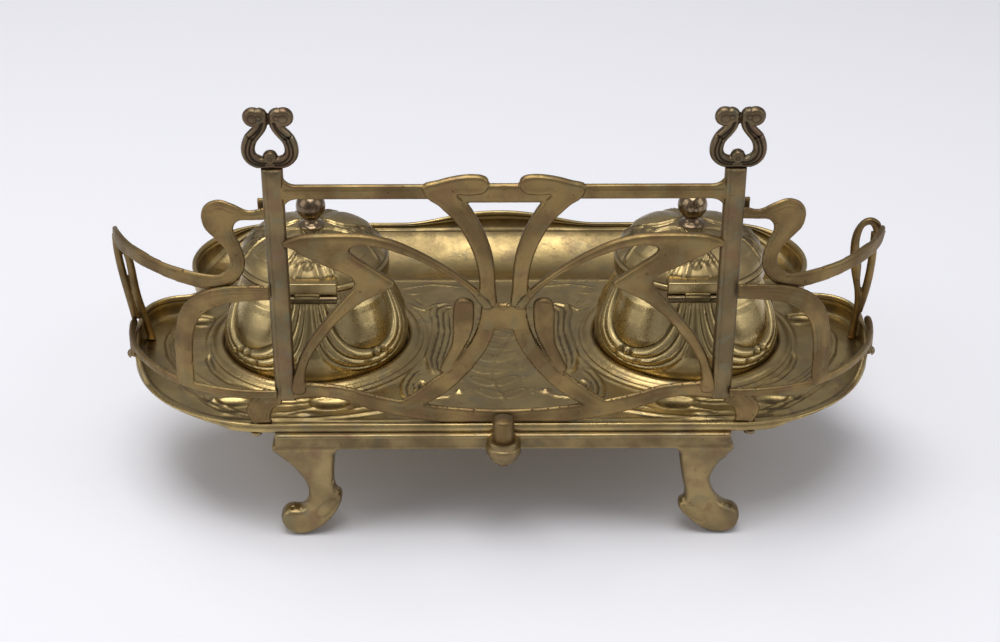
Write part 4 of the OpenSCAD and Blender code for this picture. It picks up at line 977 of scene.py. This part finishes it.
def lid_relief(r, turn):
    """Rise and the darkness of tarnish and painted shade on the dome: four plain lobes that open from the
    knob to the rim, and between them blossoms with fine grain over smooth hanging leaves."""
    off = np.abs(np.degrees(turn) % 90 - 45)
    edge = np.interp(r, [6.3, 6.8, 7.6, 9.5, 13, 18, 24, 28.5], [0, 9, 17, 27, 32, 30, 26, 23])
    d = (off - edge) * r * math.pi / 180
    plain = r < 6.3
    height = 0.85 * bead(d, 0, 0.5) + 0.45 * bead(d, 1.7, 0.4)
    shade = 0.7 * bead(d, 0.9, 0.4) + 0.5 * bead(d, -0.9, 0.4)
    gap = (45 - off) * r * math.pi / 180
    height += 0.9 * ramp(-d / 6) * (r < 26)
    for middle, ring, size in ((0.0, 17.5, 3.0), (0.0, 24.0, 2.3), (5.4, 21.6, 3.2)):
        bloom = np.hypot(gap - middle, (r - ring) * 1.05) / size
        grain = np.sin(turn * 132) * np.sin(r * 3.6) + 0.6 * np.sin(turn * 88 + r * 2.9)
        on = (bloom < 1) & (d > 0.4)
        height += on * (0.45 + 0.35 * grain) * ramp(1.6 * (1 - bloom))
        shade += on * (0.2 + 0.4 * ramp(0.3 - grain)) + 0.5 * bead(bloom, 1.1, 0.1) * (d > 0)
    tongue = np.abs(gap - np.interp(r, [22, 28.5], [2.2, 4.6]))
    height += 0.6 * bead(tongue, 0, 0.9) * (r > 23) * (d > 0.5)
    shade += 0.5 * bead(tongue, 1.7, 0.5) * (r > 23)
    return np.where(plain, 0, height), np.where(plain, 0.2, ramp(shade + 0.1))


def lid_shell(name, x):
    rim = [(29.2, 0.02), (30.5, 0.0), (30.95, 0.35), (31, 0.9), (30.9, 1.5), (30.4, 2.0), (29.95, 2.2),
           (29.85, 2.6)]
    r = np.concatenate([29.8 - 1.6 * np.linspace(0, 1, 16) ** 2, np.linspace(27.9, 5.4, 64)])
    h = np.interp(r, [5.4, 7.5, 10, 13.5, 17.5, 21.5, 25, 27.6, 28.4, 29.2, 29.8],
                  [15.6, 15.1, 14.4, 13.5, 12.5, 11.1, 9.2, 6.9, 5.9, 4.5, 2.7])
    for _ in range(6):
        h[1:-1] = (h[:-2] + 2 * h[1:-1] + h[2:]) / 4
    dome = list(zip(r, h))
    crown = [(4.6, 15.75), (2.6, 15.8), (1.55, 15.8), (1.55, 14.4), (2.8, 14.4)]
    under = [(a * 0.955, b - 1.4) for a, b in dome[::-8]]
    profile = np.array(rim + dome + crown + under + [(28.5, 0.3)])
    sides = 288
    turn = np.arange(sides) / sides * 2 * math.pi
    R, T = np.meshgrid(profile[:, 0], turn, indexing="ij")
    Z = LID_Z + np.repeat(profile[:, 1][:, None], sides, 1)
    hollow = np.zeros_like(R)
    band = slice(len(rim), len(rim) + len(dome))
    rise, shade = lid_relief(R[band], T[band])
    slope = np.arctan2(*np.gradient(np.array(dome), axis=0).T)[:, None]
    rise = rise * ramp((Z[band] - LID_Z - 2.7) / 2.5)
    R[band] += rise * np.abs(np.cos(slope)) * 0.8
    Z[band] += rise * np.abs(np.sin(slope))
    hollow[band] = shade
    # Darker in the crease where the rolled edge meets the dome.
    hollow[6:9] = 0.75
    points = np.stack([x + R * np.cos(T), R * np.sin(T), Z], -1)
    return new_mesh(name, points.reshape(-1, 3), net(len(profile), sides), hollow.ravel())


def bar_stock(name, x0, x1, y0, y1, z0, z1, edge):
    bpy.ops.object.select_all(action="DESELECT")
    low, high = in_metres([(x0, y0, z0), (x1, y1, z1)])
    bpy.ops.mesh.primitive_cube_add(size=1, location=(low + high) / 2, scale=high - low)
    piece = bpy.context.object
    piece.name = piece.data.name = name
    bpy.ops.object.transform_apply(location=True, rotation=True, scale=True)
    bpy.ops.object.mode_set(mode="EDIT")
    bpy.ops.mesh.select_all(action="SELECT")
    bpy.ops.mesh.bevel(offset=edge / 1000, segments=3)
    bpy.ops.object.mode_set(mode="OBJECT")
    bpy.ops.object.shade_smooth_by_angle(angle=math.radians(50))
    return piece


def knuckle(name, x0, x1, radius, bore):
    """Short tube on the hinge line: a ring pulled along and turned to lie across."""
    piece = turned(name, (0, -WELL_ROW_Y), [
        (bore, x0), (radius - 0.1, x0), (radius, x0 + 0.15), (radius, x1 - 0.15),
        (radius - 0.1, x1), (bore, x1), (bore, x0)], 32)
    hinge = Matrix.Translation((0, (HINGE_Y + WELL_ROW_Y) / 1000, HINGE_Z / 1000))
    piece.data.transform(hinge @ Matrix.Rotation(math.pi / 2, 4, "Y"))
    return piece


for name, x in WELLS:
    lid = lid_shell("lid_pressing_" + name, x)
    plate = bar_stock("lid_plate_" + name, x - 11.7, x + 11.7, -33.0, -26.5, 90.8, 95.8, 0.5)
    strip = bar_stock("lid_knuckle_web_" + name, x - 4.9, x + 4.9, -33.55, -32.1, 89.6, 91.5, 0.2)
    barrel = knuckle("lid_knuckle_" + name, x - 4.85, x + 4.85, 1.6, 0.86)
    lid = joined(lid, plate, strip, barrel)
    # Painted shade: the knuckle and web below the hinge plate are made dark, the plate kept light.
    lid_shade_data = lid.data.attributes["hollow"].data
    for point in lid.data.vertices:
        if point.co.y < (-31.9 + WELL_ROW_Y) / 1000:
            lid_shade_data[point.index].value = 0.85 if point.co.z < 0.0911 else 0.1
    fit(lid, "well_brass", lid_brass, "lid_" + name, body=name + "_lid")


# Lid knobs. Turned balls on a narrow neck with a flared base, held by a nut under the dome;
# handled often, so browner and smoother than the lids.
knob_bronze = aged_brass("handled_bronze", (0.25, 0.18, 0.105), (0.17, 0.12, 0.075),
                         (0.06, 0.042, 0.026), 0.2, ((0.2, 0.165, 0.11), (0.22, 0.155, 0.1)), 0.15, 0.4)
KNOB_Z = 106
for name, x in WELLS:
    ball = [(6 * math.cos(a), KNOB_Z + 8 + 6 * math.sin(a))
            for a in np.linspace(-1.04, math.pi / 2 - 0.02, 20)]
    knob = turned("knob_ball_" + name, (x, 0), [
        (TIP, 102.0), (1.4, 102.0), (1.45, 105.6), (5.2, 105.6), (5.4, 105.9), (5.1, 106.3), (4.2, 106.8),
        (3.4, 107.5), (3, 108.3)] + ball + [(TIP, KNOB_Z + 14)])
    fit(knob, "knob_bronze", knob_bronze, "knob_" + name, body=name + "_lid")


# Stage. A sheet of pale paper, a broad soft lamp overhead, and a weaker one at each side;
# the room round it is a little brighter in reflections than in its light.
bpy.ops.object.select_all(action="DESELECT")
bpy.ops.mesh.primitive_plane_add(size=9, location=(0, 0, 0))
floor = bpy.context.object
floor.name = "stage_floor"
paper = bpy.data.materials.new("pale_paper")
paper.use_nodes = True
shader = paper.node_tree.nodes["Principled BSDF"]
shader.inputs["Base Color"].default_value = (0.83, 0.83, 0.865, 1)
shader.inputs["Roughness"].default_value = 0.9
shader.inputs["Specular IOR Level"].default_value = 0.0
floor.data.materials.append(paper)


def lamp(name, where, aim, size, power):
    light = bpy.data.lights.new(name, "AREA")
    light.shape = "RECTANGLE"
    light.size, light.size_y = size
    light.energy = power
    holder = bpy.data.objects.new(name, light)
    holder.location = where
    holder.rotation_euler = (Vector(aim) - Vector(where)).to_track_quat("-Z", "Y").to_euler()
    bpy.context.scene.collection.objects.link(holder)


lamp("overhead_lamp", (-0.2, -0.14, 1.6), (0, 0, 0), (1.5, 0.85), 20)
lamp("left_lamp", (-1.25, -0.45, 0.75), (0, 0, 0.08), (0.9, 1.0), 4.5)
lamp("right_lamp", (1.25, -0.35, 0.75), (0, 0, 0.08), (0.9, 1.0), 3.5)
world = bpy.data.worlds.new("studio")
bpy.context.scene.world = world
world.use_nodes = True
room = world.node_tree.nodes["Background"]
room.inputs["Color"].default_value = (0.9, 0.9, 0.95, 1)
ray = world.node_tree.nodes.new("ShaderNodeLightPath")
level = world.node_tree.nodes.new("ShaderNodeMapRange")
level.inputs["To Min"].default_value = 0.34
level.inputs["To Max"].default_value = 0.42
world.node_tree.links.new(ray.outputs["Is Glossy Ray"], level.inputs["Value"])
world.node_tree.links.new(level.outputs["Result"], room.inputs["Strength"])


# Camera. It stands over the gallery side, 0.81 m from the piece, and looks down at thirty
# degrees with a long lens.
pitch, pan, roll, distance = math.radians(30), math.radians(0.7), math.radians(0.15), 0.809
ahead = Vector((math.sin(pan) * math.cos(pitch), math.cos(pan) * math.cos(pitch), -math.sin(pitch)))
right = Vector((math.cos(pan), -math.sin(pan), 0))
up = right.cross(ahead)
right, up = (right * math.cos(roll) + up * math.sin(roll),
             up * math.cos(roll) - right * math.sin(roll))
lens = bpy.data.cameras.new("camera")
lens.sensor_width = 36
lens.lens = 69.84
camera = bpy.data.objects.new("camera", lens)
bpy.context.scene.collection.objects.link(camera)
camera.matrix_world = (Matrix.Translation(Vector((-0.0006, WELL_ROW_Y / 1000, 0.06)) - ahead * distance)
                       @ Matrix((right, up, -ahead)).transposed().to_4x4())
bpy.context.scene.camera = camera
bpy.context.scene.view_settings.view_transform = "Standard"
